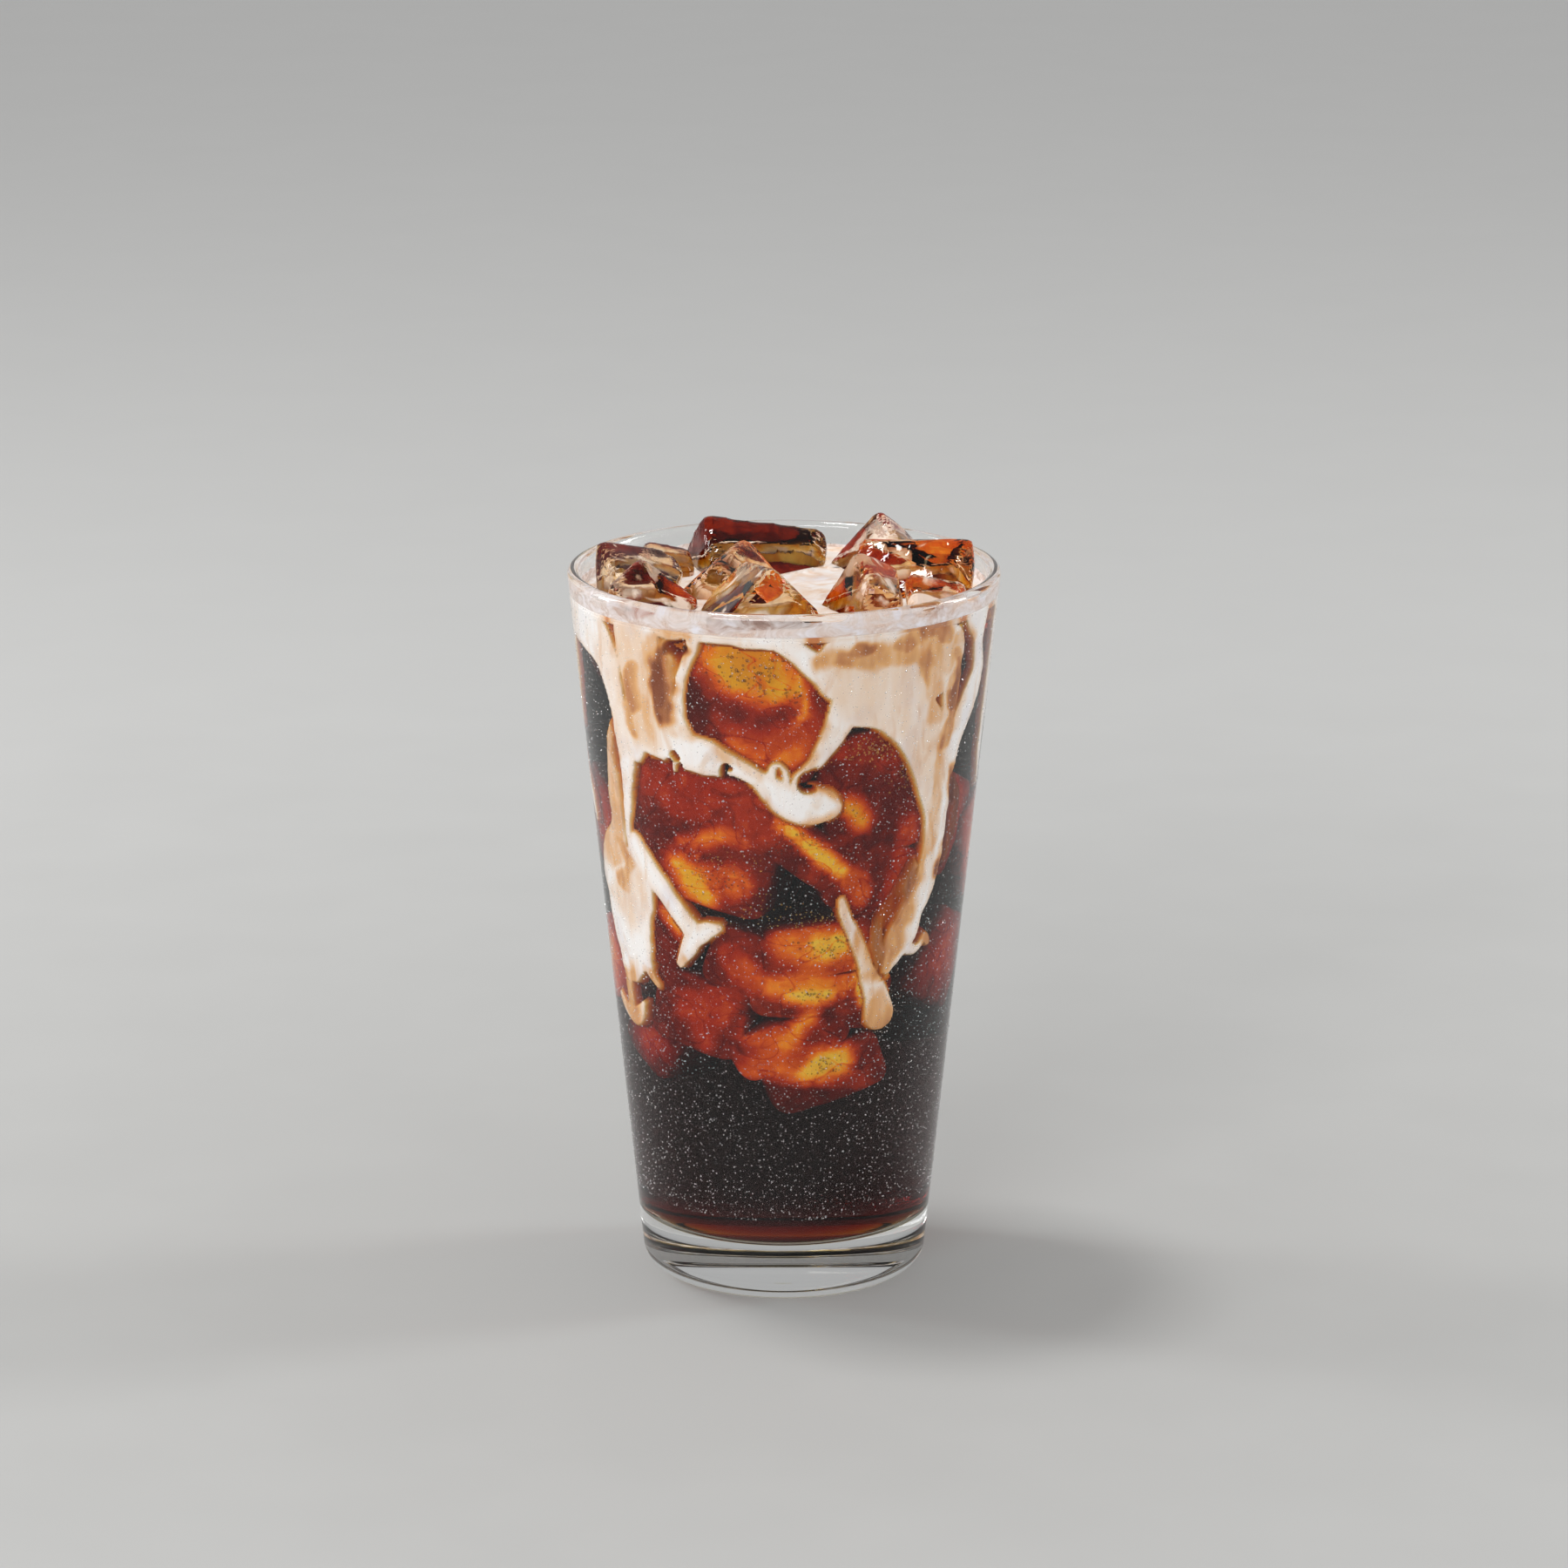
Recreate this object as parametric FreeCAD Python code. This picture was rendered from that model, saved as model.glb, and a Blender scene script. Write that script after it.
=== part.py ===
import FreeCAD, Part

import math
import os

from FreeCAD import Placement, Rotation, Vector

# A cold coffee with sweet cream in its pint glass, millimetres, +Z up.
# The origin is the middle of the foot, on the table, and -Y is the front of the drink.

# The glass: a straight cone with a rounded lip, a thick floor and a rounded heel.
GLASS_H = 150.0
MOUTH_R = 44.6      # the outer cone's radius at the lip's height
FOOT_R = 29.1       # the outer cone's radius at the table
WALL = 2.5          # measured square to the wall
FLOOR = 12.0        # glass under the drink
HEEL_R = 5.5
CORNER_R = 6.0      # the round inside, between floor and wall
PUNT_R = 18.0       # the shallow hollow under the foot
PUNT_RISE = 1.4

# The drink.
FREEBOARD = 5.5     # from the cream's face up to the lip
CREAM_T = 4.0       # cream floating over the whole drink
STREAM_T = 2.2      # how far a sinking stream of cream reaches in from the wall
STREAM_DIP = 1.0    # how far a stream starts inside the floating cream
STREAM_ROUND = 0.9  # a narrow stream's reach inward, as a share of half its breadth
STREAM_BACK = 3.0   # how far a stream's flat back is drawn past the wall before it is trimmed
STREAM_STEPS = 2    # sections drawn for each one listed
SECTION_SIDES = 4   # flats round an oval's inner side

# The ice that stands out of the cream.
ICE_ROUND = 1.8     # melted edges
ICE_GAP = 0.5       # between two cubes
GLASS_GAP = 0.4     # between a cube that leans on the wall and the glass
STREAM_GAP = 0.6    # between the other cubes and the streams on the wall

# Each cube: its bearing from the front in degrees, positive to the right; how far its middle
# is in from the wall; how far its peak stands above the cream; its three edges; its turn about
# Z, Y and X in degrees; and whether it leans on the glass.
ICE = (
    ("ice_front_middle", -14, 19.5, 12.0, (27, 26, 28), (6, 45, -12), True),
    ("ice_middle", -100, 30.0, 9.5, (25, 20, 26), (-14, 47, 6), False),
    ("ice_back_left", -166, 15.0, 11.5, (29, 19, 21), (24, 12, 41), False),
    ("ice_back_right", 137, 10.5, 11.0, (21, 20, 25), (28, 38, 18), False),
    ("ice_right", 97, 12.5, 10.5, (27, 23, 22), (-8, -2, 38), False),
    ("ice_front_right", 47, 19.5, 11.5, (15, 16, 25), (24, 25, 20), False),
    ("ice_small_right", 64, 8.5, 7.5, (14, 12, 14), (18, 14, 33), False),
    ("ice_front_left", -65, 9.5, 9.5, (21, 19, 21), (-22, 33, 24), False),
    ("ice_left", -98, 10.0, 9.5, (18, 17, 20), (24, 12, 16), False),
    ("ice_small_left", -127, 9.5, 6.0, (11, 11, 15), (8, 14, 12), False),
)

# Streams of cream sinking down the inside of the wall, each a run of sections: bearing from
# the front in degrees, depth below the cream's face and half the stream's breadth.
STREAMS = (
    # right front: a broad sheet under the face
    ((38, 0, 9.5), (39, 9, 10.0), (42, 18, 8.5), (44, 24, 5.0)),
    # right front: the fall out of the sheet, ending in a bulb
    ((56, 0, 4.5), (55, 12, 4.8), (54, 26, 4.4), (54, 39, 3.4), (52, 50, 3.0), (47, 60, 3.3),
     (40, 67, 3.8), (35, 74, 3.0), (33, 81, 3.2), (33, 86, 1.6)),
    # over the front cube's shoulder from the face into the sheet
    ((-6, 0, 3.6), (4, 5, 3.8), (14, 10, 4.4), (24, 15, 6.0)),
    # under the front cube's shoulder from the sheet back to the left
    ((36, 21, 4.5), (28, 22, 4.0), (20, 25, 3.2), (12, 29, 2.4), (7, 32, 1.6)),
    # left front: a long fall that widens into a tail with a curled tip
    ((-60, 0, 6.0), (-57, 9, 5.5), (-52, 18, 4.6), (-49, 28, 3.8), (-49, 38, 3.4), (-51, 48, 3.8),
     (-54, 58, 5.2), (-57, 66, 5.6), (-60, 74, 3.4), (-63, 80, 1.9), (-61, 86, 1.5)),
    # the arm thrown out of the left fall, and the drip on it
    ((-51, 45, 2.8), (-43, 53, 2.6), (-36, 58, 2.4), (-29, 61, 2.6), (-23, 61, 1.4)),
    ((-30, 60, 2.2), (-35, 66, 1.8), (-38, 71, 1.3)),
    # the bridge under the front cube, ending in a hooked bulb
    ((-52, 23, 3.2), (-40, 25, 4.6), (-30, 24, 4.6), (-20, 25, 3.8), (-9, 30, 3.8), (0, 34, 4.3),
     (8, 36, 4.8), (14, 35, 3.6), (16, 32, 1.8)),
    # the veil beside the front cube
    ((-36, 0, 6.5), (-38, 11, 6.0), (-41, 23, 5.0)),
    # the outer right stream
    ((72, 0, 4.5), (69, 14, 3.6), (64, 27, 2.6), (56, 38, 1.8)),
    # a thin thread beside the right fall, and the curl on that fall
    ((19, 56, 1.3), (24, 63, 2.2), (29, 71, 2.2), (33, 80, 1.6)),
    ((42, 66, 2.0), (50, 68, 1.9), (54, 65, 1.3)),
    # the far side
    ((100, 0, 5.0), (102, 14, 4.2), (107, 28, 3.0), (113, 40, 3.4), (111, 50, 1.6)),
    ((140, 0, 7.0), (143, 12, 6.0), (148, 25, 4.0), (151, 40, 3.0), (146, 54, 3.2), (142, 61, 1.5)),
    ((178, 0, 6.0), (174, 13, 5.0), (168, 26, 3.4), (160, 35, 2.2), (150, 38, 1.6)),
    ((-150, 0, 6.5), (-147, 15, 5.0), (-143, 30, 3.6), (-146, 45, 4.2), (-150, 56, 3.0),
     (-152, 63, 1.4)),
    ((-143, 27, 2.6), (-156, 31, 3.6), (-170, 29, 2.8), (-179, 24, 2.0)),
    ((-108, 0, 5.5), (-105, 16, 4.2), (-101, 31, 3.0), (-98, 43, 1.5)),
)

SLOPE = (MOUTH_R - FOOT_R) / GLASS_H
LEAN_COS = math.cos(math.atan(SLOPE))
LEAN_SIN = math.sin(math.atan(SLOPE))
LEVEL = GLASS_H - FREEBOARD


def outer_r(z):
    return FOOT_R + SLOPE * z


def inner_r(z, gap=0.0):
    """Radius of the drink's space at a height, less a gap measured square to the wall."""
    return outer_r(z) - (WALL + gap) / LEAN_COS


def round_on(line_r, centre_z, radius):
    """An arc's centre, and where it leaves a line that leans as the wall does."""
    centre = Vector(line_r(centre_z) - radius / LEAN_COS, 0, centre_z)
    touch = centre + Vector(radius * LEAN_COS, 0, -radius * LEAN_SIN)
    return centre, touch


def arc(start, middle, end):
    return Part.Arc(start, middle, end).toShape()


def line(start, end):
    return Part.LineSegment(start, end).toShape()


def lathe(edges):
    """A closed outline, from the axis and back to it, turned about Z."""
    face = Part.Face(Part.Wire(edges))
    return face.revolve(Vector(0, 0, 0), Vector(0, 0, 1), 360)


def low_middle(centre, radius):
    """The middle point of a rounded lower corner."""
    share = radius * math.sqrt(0.5)
    return centre + Vector(share, 0, -share)


def make_glass():
    lip = WALL / 2.0
    lip_centre, lip_out = round_on(outer_r, GLASS_H - lip, lip)
    lip_in = lip_centre + (lip_centre - lip_out)
    lip_top = lip_centre + Vector(0, 0, lip)
    heel_centre, heel_out = round_on(outer_r, HEEL_R, HEEL_R)
    heel_foot = heel_centre - Vector(0, 0, HEEL_R)
    corner_centre, corner_out = round_on(inner_r, FLOOR + CORNER_R, CORNER_R)
    corner_foot = corner_centre - Vector(0, 0, CORNER_R)
    punt_top = Vector(0, 0, PUNT_RISE)
    punt_edge = Vector(PUNT_R, 0, 0)
    punt_side = Vector(PUNT_R * 0.5, 0, PUNT_RISE * 0.75)
    floor_top = Vector(0, 0, FLOOR)
    return lathe([
        arc(punt_top, punt_side, punt_edge),
        line(punt_edge, heel_foot),
        arc(heel_foot, low_middle(heel_centre, HEEL_R), heel_out),
        line(heel_out, lip_out),
        arc(lip_out, lip_top, lip_in),
        line(lip_in, corner_out),
        arc(corner_out, low_middle(corner_centre, CORNER_R), corner_foot),
        line(corner_foot, floor_top),
        line(floor_top, punt_top),
    ])


def drink_space(top, gap=0.0):
    """All of the glass's inside up to a height, drawn in from wall and floor by a gap."""
    bottom = FLOOR + gap
    centre, corner_out = round_on(lambda z: inner_r(z, gap), bottom + CORNER_R, CORNER_R)
    corner_foot = centre - Vector(0, 0, CORNER_R)
    rim = Vector(inner_r(top, gap), 0, top)
    return lathe([
        line(Vector(0, 0, bottom), corner_foot),
        arc(corner_foot, low_middle(centre, CORNER_R), corner_out),
        line(corner_out, rim),
        line(rim, Vector(0, 0, top)),
        line(Vector(0, 0, top), Vector(0, 0, bottom)),
    ])


def toward(bearing):
    """Level unit vector for a bearing from the front, positive to the right."""
    turn = math.radians(bearing)
    return Vector(math.sin(turn), -math.cos(turn), 0)


def rounded_block(edges):
    block = Part.makeBox(*edges, Vector(*(-edge / 2.0 for edge in edges)))
    return block.makeFillet(ICE_ROUND, block.Edges)


def place_cube(bearing, inset, rise, edges, turns):
    cube = rounded_block(edges)
    cube.Placement = Placement(Vector(0, 0, 0), Rotation(*turns))
    peak = cube.optimalBoundingBox(False).ZMax
    middle = toward(bearing) * (inner_r(LEVEL) - inset)
    middle.z = LEVEL + rise - peak
    cube.Placement = Placement(middle, Rotation(*turns))
    return cube, middle


def beyond(start, direction):
    """A block that fills everything past a point in a direction."""
    reach = 2.0 * (GLASS_H + MOUTH_R)
    block = Part.makeBox(2 * reach, 2 * reach, reach, Vector(-reach, -reach, 0))
    block.Placement = Placement(start, Rotation(Vector(0, 0, 1), direction))
    return block


def trim_pair(cube, middle, other, other_middle, share):
    """Cut a cube back to its side of the plane between it and a neighbour."""
    if cube.distToShape(other)[0] >= ICE_GAP:
        return cube
    along = other_middle - middle
    reach = along.Length * share - ICE_GAP / 2.0
    along.normalize()
    return cube.cut(beyond(middle + along * reach, along))


def make_ice():
    placed = {}
    for name, bearing, inset, rise, edges, turns, leans in ICE:
        placed[name] = place_cube(bearing, inset, rise, edges, turns) + (max(edges), leans)
    cubes = {}
    for name, (cube, middle, breadth, leans) in placed.items():
        shape = cube
        for other_name, (other, other_middle, other_breadth, _) in placed.items():
            if other_name != name:
                share = breadth / (breadth + other_breadth)
                shape = trim_pair(shape, middle, other, other_middle, share)
        gap = GLASS_GAP if leans else STREAM_T + STREAM_GAP
        cubes[name] = shape.common(drink_space(GLASS_H, gap).fuse(open_space(gap)))
    return cubes


def open_space(gap):
    """The space over the lip, as wide as the mouth, for cubes that stand proud of it."""
    return Part.makeCylinder(inner_r(GLASS_H, gap), GLASS_H, Vector(0, 0, GLASS_H))


def wall_point(bearing, depth):
    z = LEVEL - depth
    return toward(bearing) * inner_r(z) + Vector(0, 0, z)


def between(before, start, end, after, share):
    """A smooth value part of the way from start to end, given the values beside them."""
    return 0.5 * (2 * start + (end - before) * share
                  + (2 * before - 5 * start + 4 * end - after) * share ** 2
                  + (3 * start - before - 3 * end + after) * share ** 3)


def smooth_run(run):
    """A stream's sections with more, evenly spread, between each two."""
    padded = (run[0],) + tuple(run) + (run[-1],)
    sections = []
    for index in range(len(run) - 1):
        around = list(zip(*padded[index:index + 4]))
        for step in range(STREAM_STEPS):
            share = step / STREAM_STEPS
            sections.append([between(*values, share) for values in around])
    sections.append(list(run[-1]))
    return sections


def stream_section(here, before, after, half_breadth):
    """Corners of a flat-backed oval on the wall, across the way the stream runs."""
    bearing, depth = here
    out = toward(bearing)
    normal = Vector(out.x * LEAN_COS, out.y * LEAN_COS, -LEAN_SIN)
    across = (wall_point(*after) - wall_point(*before)).cross(normal)
    across.normalize()
    centre = wall_point(bearing, depth)
    thick = min(STREAM_T, STREAM_ROUND * half_breadth)
    corners = []
    for step in range(SECTION_SIDES + 1):
        turn = math.pi * step / SECTION_SIDES
        inward = normal * (-thick * math.sin(turn))
        corners.append(centre + across * (half_breadth * math.cos(turn)) + inward)
    corners.append(centre + normal * STREAM_BACK)
    return corners


def skin(sections):
    """A closed solid of flat three-cornered faces through rings of corners."""
    faces = []
    count = len(sections[0])
    for ring, following in zip(sections, sections[1:]):
        for index in range(count):
            beside = (index + 1) % count
            faces.append((ring[index], ring[beside], following[beside]))
            faces.append((ring[index], following[beside], following[index]))
    for index in range(1, count - 1):
        faces.append((sections[0][0], sections[0][index + 1], sections[0][index]))
        faces.append((sections[-1][0], sections[-1][index], sections[-1][index + 1]))
    shell = Part.Shell([Part.Face(Part.makePolygon(corners + corners[:1])) for corners in faces])
    solid = Part.Solid(shell)
    if solid.Volume < 0:
        solid.reverse()
    return solid


def make_stream(run):
    """One stream of cream on the wall. Its first section starts inside the floating cream."""
    run = smooth_run(run)
    places = [(bearing, max(depth, STREAM_DIP)) for bearing, depth, _ in run]
    sections = []
    for index, (_, _, half_breadth) in enumerate(run):
        before = places[max(index - 1, 0)]
        after = places[min(index + 1, len(run) - 1)]
        sections.append(stream_section(places[index], before, after, half_breadth))
    return skin(sections)


def make_cream(cubes):
    layer = drink_space(LEVEL).cut(beyond(Vector(0, 0, LEVEL - CREAM_T), Vector(0, 0, -1)))
    streams = [make_stream(run) for run in STREAMS]
    cream = layer.fuse(streams)
    cream = cream.common(drink_space(LEVEL))
    return cream.cut(list(cubes.values()))


def single(name, shape):
    """The one solid of a piece; slivers that a cut leaves are dropped."""
    solids = sorted(shape.Solids, key=lambda solid: solid.Volume)
    print(name, len(solids), "solids,", round(solids[-1].Volume / 1000.0, 2), "ml")
    return solids[-1]


def main():
    cubes = make_ice()
    cream = make_cream(cubes)
    coffee = drink_space(LEVEL).cut([cream] + list(cubes.values()))
    nodes = {"glass": make_glass(), "coffee": coffee, "cream": cream}
    nodes.update(cubes)
    os.makedirs("parts", exist_ok=True)
    for name, shape in nodes.items():
        single(name, shape).exportStep("parts/" + name + ".step")


main()
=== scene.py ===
import math

import bmesh
import bpy
import numpy as np
from mathutils import Matrix, Vector, noise
from mathutils.bvhtree import BVHTree


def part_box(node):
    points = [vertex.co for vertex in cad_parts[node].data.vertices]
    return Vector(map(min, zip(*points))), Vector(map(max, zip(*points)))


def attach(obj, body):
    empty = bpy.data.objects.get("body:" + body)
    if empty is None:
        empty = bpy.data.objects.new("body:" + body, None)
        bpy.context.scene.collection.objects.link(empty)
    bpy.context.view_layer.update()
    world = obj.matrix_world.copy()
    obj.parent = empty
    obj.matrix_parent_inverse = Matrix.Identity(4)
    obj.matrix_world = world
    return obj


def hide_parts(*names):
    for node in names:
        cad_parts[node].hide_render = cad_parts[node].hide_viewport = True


# A cold coffee with sweet cream in its pint glass. Sizes are in millimetres, angles in degrees,
# and MM turns a size into the scene's metres. Bearings go from the front, positive to the right.

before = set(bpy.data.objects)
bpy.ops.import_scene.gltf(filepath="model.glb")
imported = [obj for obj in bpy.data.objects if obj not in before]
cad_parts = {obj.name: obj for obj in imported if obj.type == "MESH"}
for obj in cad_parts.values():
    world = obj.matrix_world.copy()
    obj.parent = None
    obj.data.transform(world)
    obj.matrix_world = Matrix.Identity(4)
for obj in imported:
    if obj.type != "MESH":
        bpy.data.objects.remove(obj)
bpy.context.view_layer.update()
MM = 0.001

# The glass, as the frame has it.
GLASS_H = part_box("glass")[1].z / MM
MOUTH_R = 44.6
FOOT_R = 29.1
WALL = 2.5
FLOOR = 12.0
HEEL_R = 5.5
CORNER_R = 6.0
PUNT_R = 18.0
PUNT_RISE = 1.4
SLOPE = (MOUTH_R - FOOT_R) / GLASS_H
LEAN = math.degrees(math.atan(SLOPE))
LEAN_COS = math.cos(math.atan(SLOPE))
LEAN_SIN = math.sin(math.atan(SLOPE))
GLASS_TURNS = 192

# The drink.
LEVEL = max(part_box("coffee")[1].z / MM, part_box("cream")[1].z / MM)
CREAM_T = 4.0
CREAM_BACK = 1.8        # how far in from the wall the layer keeps under its skin
CREAM_SKIN = 0.7        # cream that closes over the coffee round each cube
INTO_WALL = 0.03        # how far the drink reaches into the glass, so that no gap shows
DRINK_TURNS = 160
COFFEE_STRENGTH = 1050.0    # how much light the coffee takes up, for each metre
MILK_RISE = 4.4         # how far the milk on the wall reaches over the drink
MILK_T = 0.22           # how thick that milk is

# The ice.
ICE_GRAIN = 1.1         # the step of a cube's mesh
ICE_MELT = 0.3          # depth of the dents in a cube
FILM = 0.7              # coffee between a cube and the wall where they are nearest
FILM_SWING = 0.35       # how much thicker or thinner that coffee may be
CUT_IN = 0.05           # how far a cube reaches into the drink round it
SUNKEN_TOP = 1.2        # a cube under the drink keeps this far below the cream's face
BLOCK_ROUND = 2.6       # how far the edges of a cube under the drink are cut back
PUSHES = 12             # moves that bring such a cube to its distance from the wall

# Dew and bubbles.
DEW_LOW = 19.0          # no drop of dew lies lower on the glass
DEW_SUNK = 0.02         # how far a drop reaches into the glass
DEW_FLATTEN = 0.55      # how far a drop stands out, as a share of a round one
RING_TUBE = 0.24        # a bubble ring's tube as a share of its radius
MM_A_DEGREE = 0.64      # length of one degree round the inside of the wall, about

# The stage and the camera, in metres and degrees.
FLOOR_BREADTH = 14.0
WORLD_STRENGTH = 0.42
LAMP_AIM = (0, 0, 0.09)
LAMPS = (               # name, place, breadth and height, power
    ("key", (-0.34, 0.16, 1.5), (0.24, 0.24), 7.5),
    ("front fill", (-0.7, -1.6, 0.65), (0.9, 0.7), 16.0),
    ("right edge", (1.2, 0.3, 0.5), (0.25, 0.9), 7.0),
    ("left edge", (-1.1, 0.35, 0.45), (0.2, 0.9), 5.0),
)
CAMERA_PLACE = (0, -1.2569, 0.4401)
CAMERA_DIP = 14.984     # how far the camera looks down
CAMERA_LENS = 144.39    # focal length in millimetres

CUBES = [name for name in sorted(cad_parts) if name.startswith("ice_")]

# How much coffee colours each standing cube, how much cream clings to it, and how bright the
# light painted on its cloudy core is.
TINTS = {
    "ice_front_middle": (0.9, 0.35, 0.9),
    "ice_middle": (0.95, 0.1, 0.66),
    "ice_back_left": (0.6, 0.05, 0.24),
    "ice_back_right": (0.4, 0.5, 0.36),
    "ice_right": (1.0, 0.1, 0.6),
    "ice_front_right": (0.95, 0.7, 0.5),
    "ice_small_right": (0.85, 0.6, 0.6),
    "ice_front_left": (0.7, 0.7, 0.42),
    "ice_left": (0.85, 0.4, 0.2),
    "ice_small_left": (0.9, 0.1, 0.22),
}

# Cubes that are wholly under the drink: bearing, depth of the middle under the cream's face,
# thinnest film of coffee to the wall, edges, and turns about X, Y and Z.
SUNKEN = (
    (-6, 13, 0.4, (31, 17, 26), (4, 28, -6)),
    (-28, 42.6, 0.6, (29, 20, 30), (5, 12, -28)),
    (8, 45, 0.5, (24, 15, 11), (6, 38, 8)),
    (32, 33, 0.9, (23, 18, 28), (5, -10, 32)),
    (38, 54, 1.1, (17, 16, 18), (8, 24, 38)),
    (24, 53, 0.6, (10, 12, 12), (8, 30, 24)),
    (13, 66, 0.4, (21, 17, 12), (7, -8, 14)),
    (9, 76, 0.4, (21, 16, 10), (7, 3, 9)),
    (-13, 69, 0.9, (15, 16, 14), (7, 20, -13)),
    (-33, 81, 0.9, (19, 18, 17), (7, 12, -33)),
    (1, 86, 0.7, (22, 16, 10), (8, -28, 2)),
    (16, 93, 0.4, (22, 18, 13), (8, -16, 16)),
    (30, 78, 0.8, (10, 12, 13), (8, 12, 30)),
    (-48, 64, 1.0, (15, 16, 15), (9, 20, -48)),
    (60, 42, 2.8, (20, 20, 21), (8, 30, 60)),
    (-80, 46, 3.2, (22, 22, 20), (10, 35, -76)),
    (100, 50, 0.9, (24, 21, 22), (3, -20, 98)),
    (-125, 48, 0.8, (22, 20, 24), (8, 26, -122)),
    (170, 46, 0.7, (24, 20, 22), (3, 16, 172)),
    (78, 74, 3.4, (19, 17, 20), (9, 30, 78)),
    (150, 74, 0.8, (20, 18, 18), (2, 20, 150)),
    (-150, 80, 0.8, (19, 19, 18), (8, -30, -150)),
    (-88, 76, 1.2, (19, 17, 18), (6, -20, -88)),
    (115, 88, 0.9, (17, 16, 15), (8, 12, 115)),
    (-62, 90, 3.6, (15, 14, 14), (8, 30, -60)),
)

# Light painted on the ice under the drink where light would come through it: how bright, how
# softly it falls away, and a run of bearing, depth and half-breadth. A negative one is painted
# shade.
PAINTED_GLOWS = (
    (0.4, 5.0, ((-20, 4, 5.0), (-8, 14, 9.0), (2, 19, 6.0))),
    (1.0, 8.0, ((-18, 2.2, 1.8), (-13, 4.6, 4.2), (-7, 7.2, 3.8), (-2.4, 9.6, 1.8))),
    (-0.2, 4.0, ((-29, 11, 1.4), (-20, 14.5, 1.4), (-8, 16.5, 1.2), (0, 15.5, 0.8))),
    (0.74, 1.6, ((4, 7, 1.0), (5, 11, 1.2), (6, 15, 1.4), (4, 17, 1.4))),
    (0.92, 1.4, ((7, 13, 0.5), (7, 15, 0.6))),
    (0.6, 3.0, ((-16, 21.5, 0.8), (-9, 24.5, 1.8), (-4, 26.5, 1.6), (3, 24, 2.4))),
    (0.44, 3.0, ((10, 9, 1.4), (15, 12, 1.2))),
    (0.34, 6.0, ((-44, 32, 4.0), (-30, 34, 5.0), (-15, 35, 5.0), (-8, 40, 4.0))),
    (0.62, 3.0, ((-34, 44, 0.8), (-28, 44, 1.6), (-20, 42, 1.8), (-13, 43, 1.2))),
    (0.82, 1.6, ((-30, 46, 0.5), (-29, 47, 0.5))),
    (1.0, 5.0, ((-36, 49.5, 0.8), (-31, 53, 1.8), (-26, 55.5, 1.0))),
    (0.6, 5.0, ((-27, 52, 2.4), (-16, 52, 2.6))),
    (1.0, 2.6, ((-2, 38.5, 0.8), (5, 42, 1.2), (12, 46, 1.6), (18, 49.5, 1.4))),
    (0.48, 2.4, ((17, 50, 1.6), (24, 53, 3.2), (25, 56, 2.2))),
    (0.34, 3.0, ((9, 51, 0.8), (14, 52, 0.8))),
    (0.86, 3.4, ((18.5, 35, 1.2), (22, 36.5, 1.6), (25, 39.5, 1.4))),
    (0.3, 4.0, ((18, 24, 2.6), (28, 24, 3.6), (34, 28, 2.6))),
    (0.4, 4.0, ((43, 42, 2.6), (41, 50, 3.4), (38, 58, 3.0))),
    (0.56, 6.0, ((0, 65, 1.6), (10, 66, 3.6), (22, 66, 2.6))),
    (1.0, 5.0, ((11, 65, 1.0), (15, 66, 1.8), (20, 65, 1.2))),
    (1.0, 2.2, ((25.5, 70, 0.8), (26.5, 75, 1.0), (28, 79, 0.8))),
    (0.58, 4.0, ((-4, 74, 1.6), (8, 74, 3.4), (20, 74, 2.4))),
    (1.0, 3.6, ((2, 76, 0.6), (8, 76.5, 1.4), (15, 76, 0.8))),
    (0.42, 4.0, ((-18, 68, 2.4), (-14, 71, 3.0), (-8, 74, 2.0))),
    (0.38, 5.0, ((-38, 80, 2.6), (-28, 80, 3.6), (-20, 78, 2.6), (-30, 86, 2.6))),
    (0.76, 4.0, ((9, 81, 1.0), (4, 84, 1.2), (0, 87, 0.8))),
    (0.46, 5.0, ((-12, 84, 2.4), (0, 88, 2.6), (-12, 93, 2.4))),
    (0.46, 5.0, ((0, 92, 3.0), (18, 92, 3.6))),
    (-0.34, 4.0, ((-14, 99, 2.0), (4, 101, 2.4), (24, 103, 3.0))),
    (1.0, 5.0, ((8, 93, 0.8), (14, 91.5, 2.0), (20, 90.5, 1.6))),
    (0.3, 3.0, ((28, 96, 2.6), (34, 98, 2.0))),
    (0.8, 3.0, ((-44, 60, 0.8), (-40, 62, 1.4), (-37, 64, 0.8))),
)
# Past this bearing the light is painted about each cube's own middle instead.
FRONT_GLOWS = 56.0      # the bearing past which each cube glows about its own middle instead

# How strongly each clear thing bends light. A face between two of them has the one over the other.
BEND_GLASS = 1.46
BEND_WATER = 1.33
BEND_ICE = 1.31


def outer_r(z):
    return FOOT_R + SLOPE * z


def inner_r(z, gap=0.0):
    """Radius of the drink's space at a height, less a gap measured square to the wall."""
    return outer_r(z) - (WALL + gap) / LEAN_COS


# The middle of the round corner where the wall meets the floor inside: radius and height.
CORNER = (inner_r(FLOOR + CORNER_R) - CORNER_R / LEAN_COS, FLOOR + CORNER_R)


def toward(bearing):
    """The level direction of a bearing."""
    turn = math.radians(bearing)
    return Vector((math.sin(turn), -math.cos(turn), 0.0))


def wrapped(bearing):
    """A bearing brought between -180 and 180."""
    return ((bearing + 180) % 360) - 180


def reach_of(points):
    """Distance of each point from the glass's axis."""
    return np.hypot(points[:, 0], points[:, 1])


def turns_of(points):
    """Bearing of each point in radians."""
    return np.arctan2(points[:, 0], -points[:, 1])


def outward_at(turns):
    """Level directions away from the axis, one for each turn in radians."""
    return np.stack([np.sin(turns), -np.cos(turns), np.zeros_like(turns)], axis=1)


# ---------------------------------------------------------------- meshes


def finish_mesh(name, bm):
    """A linked object from a bmesh in millimetres."""
    bmesh.ops.scale(bm, vec=(MM, MM, MM), verts=bm.verts)
    return place_bmesh(name, bm)


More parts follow.
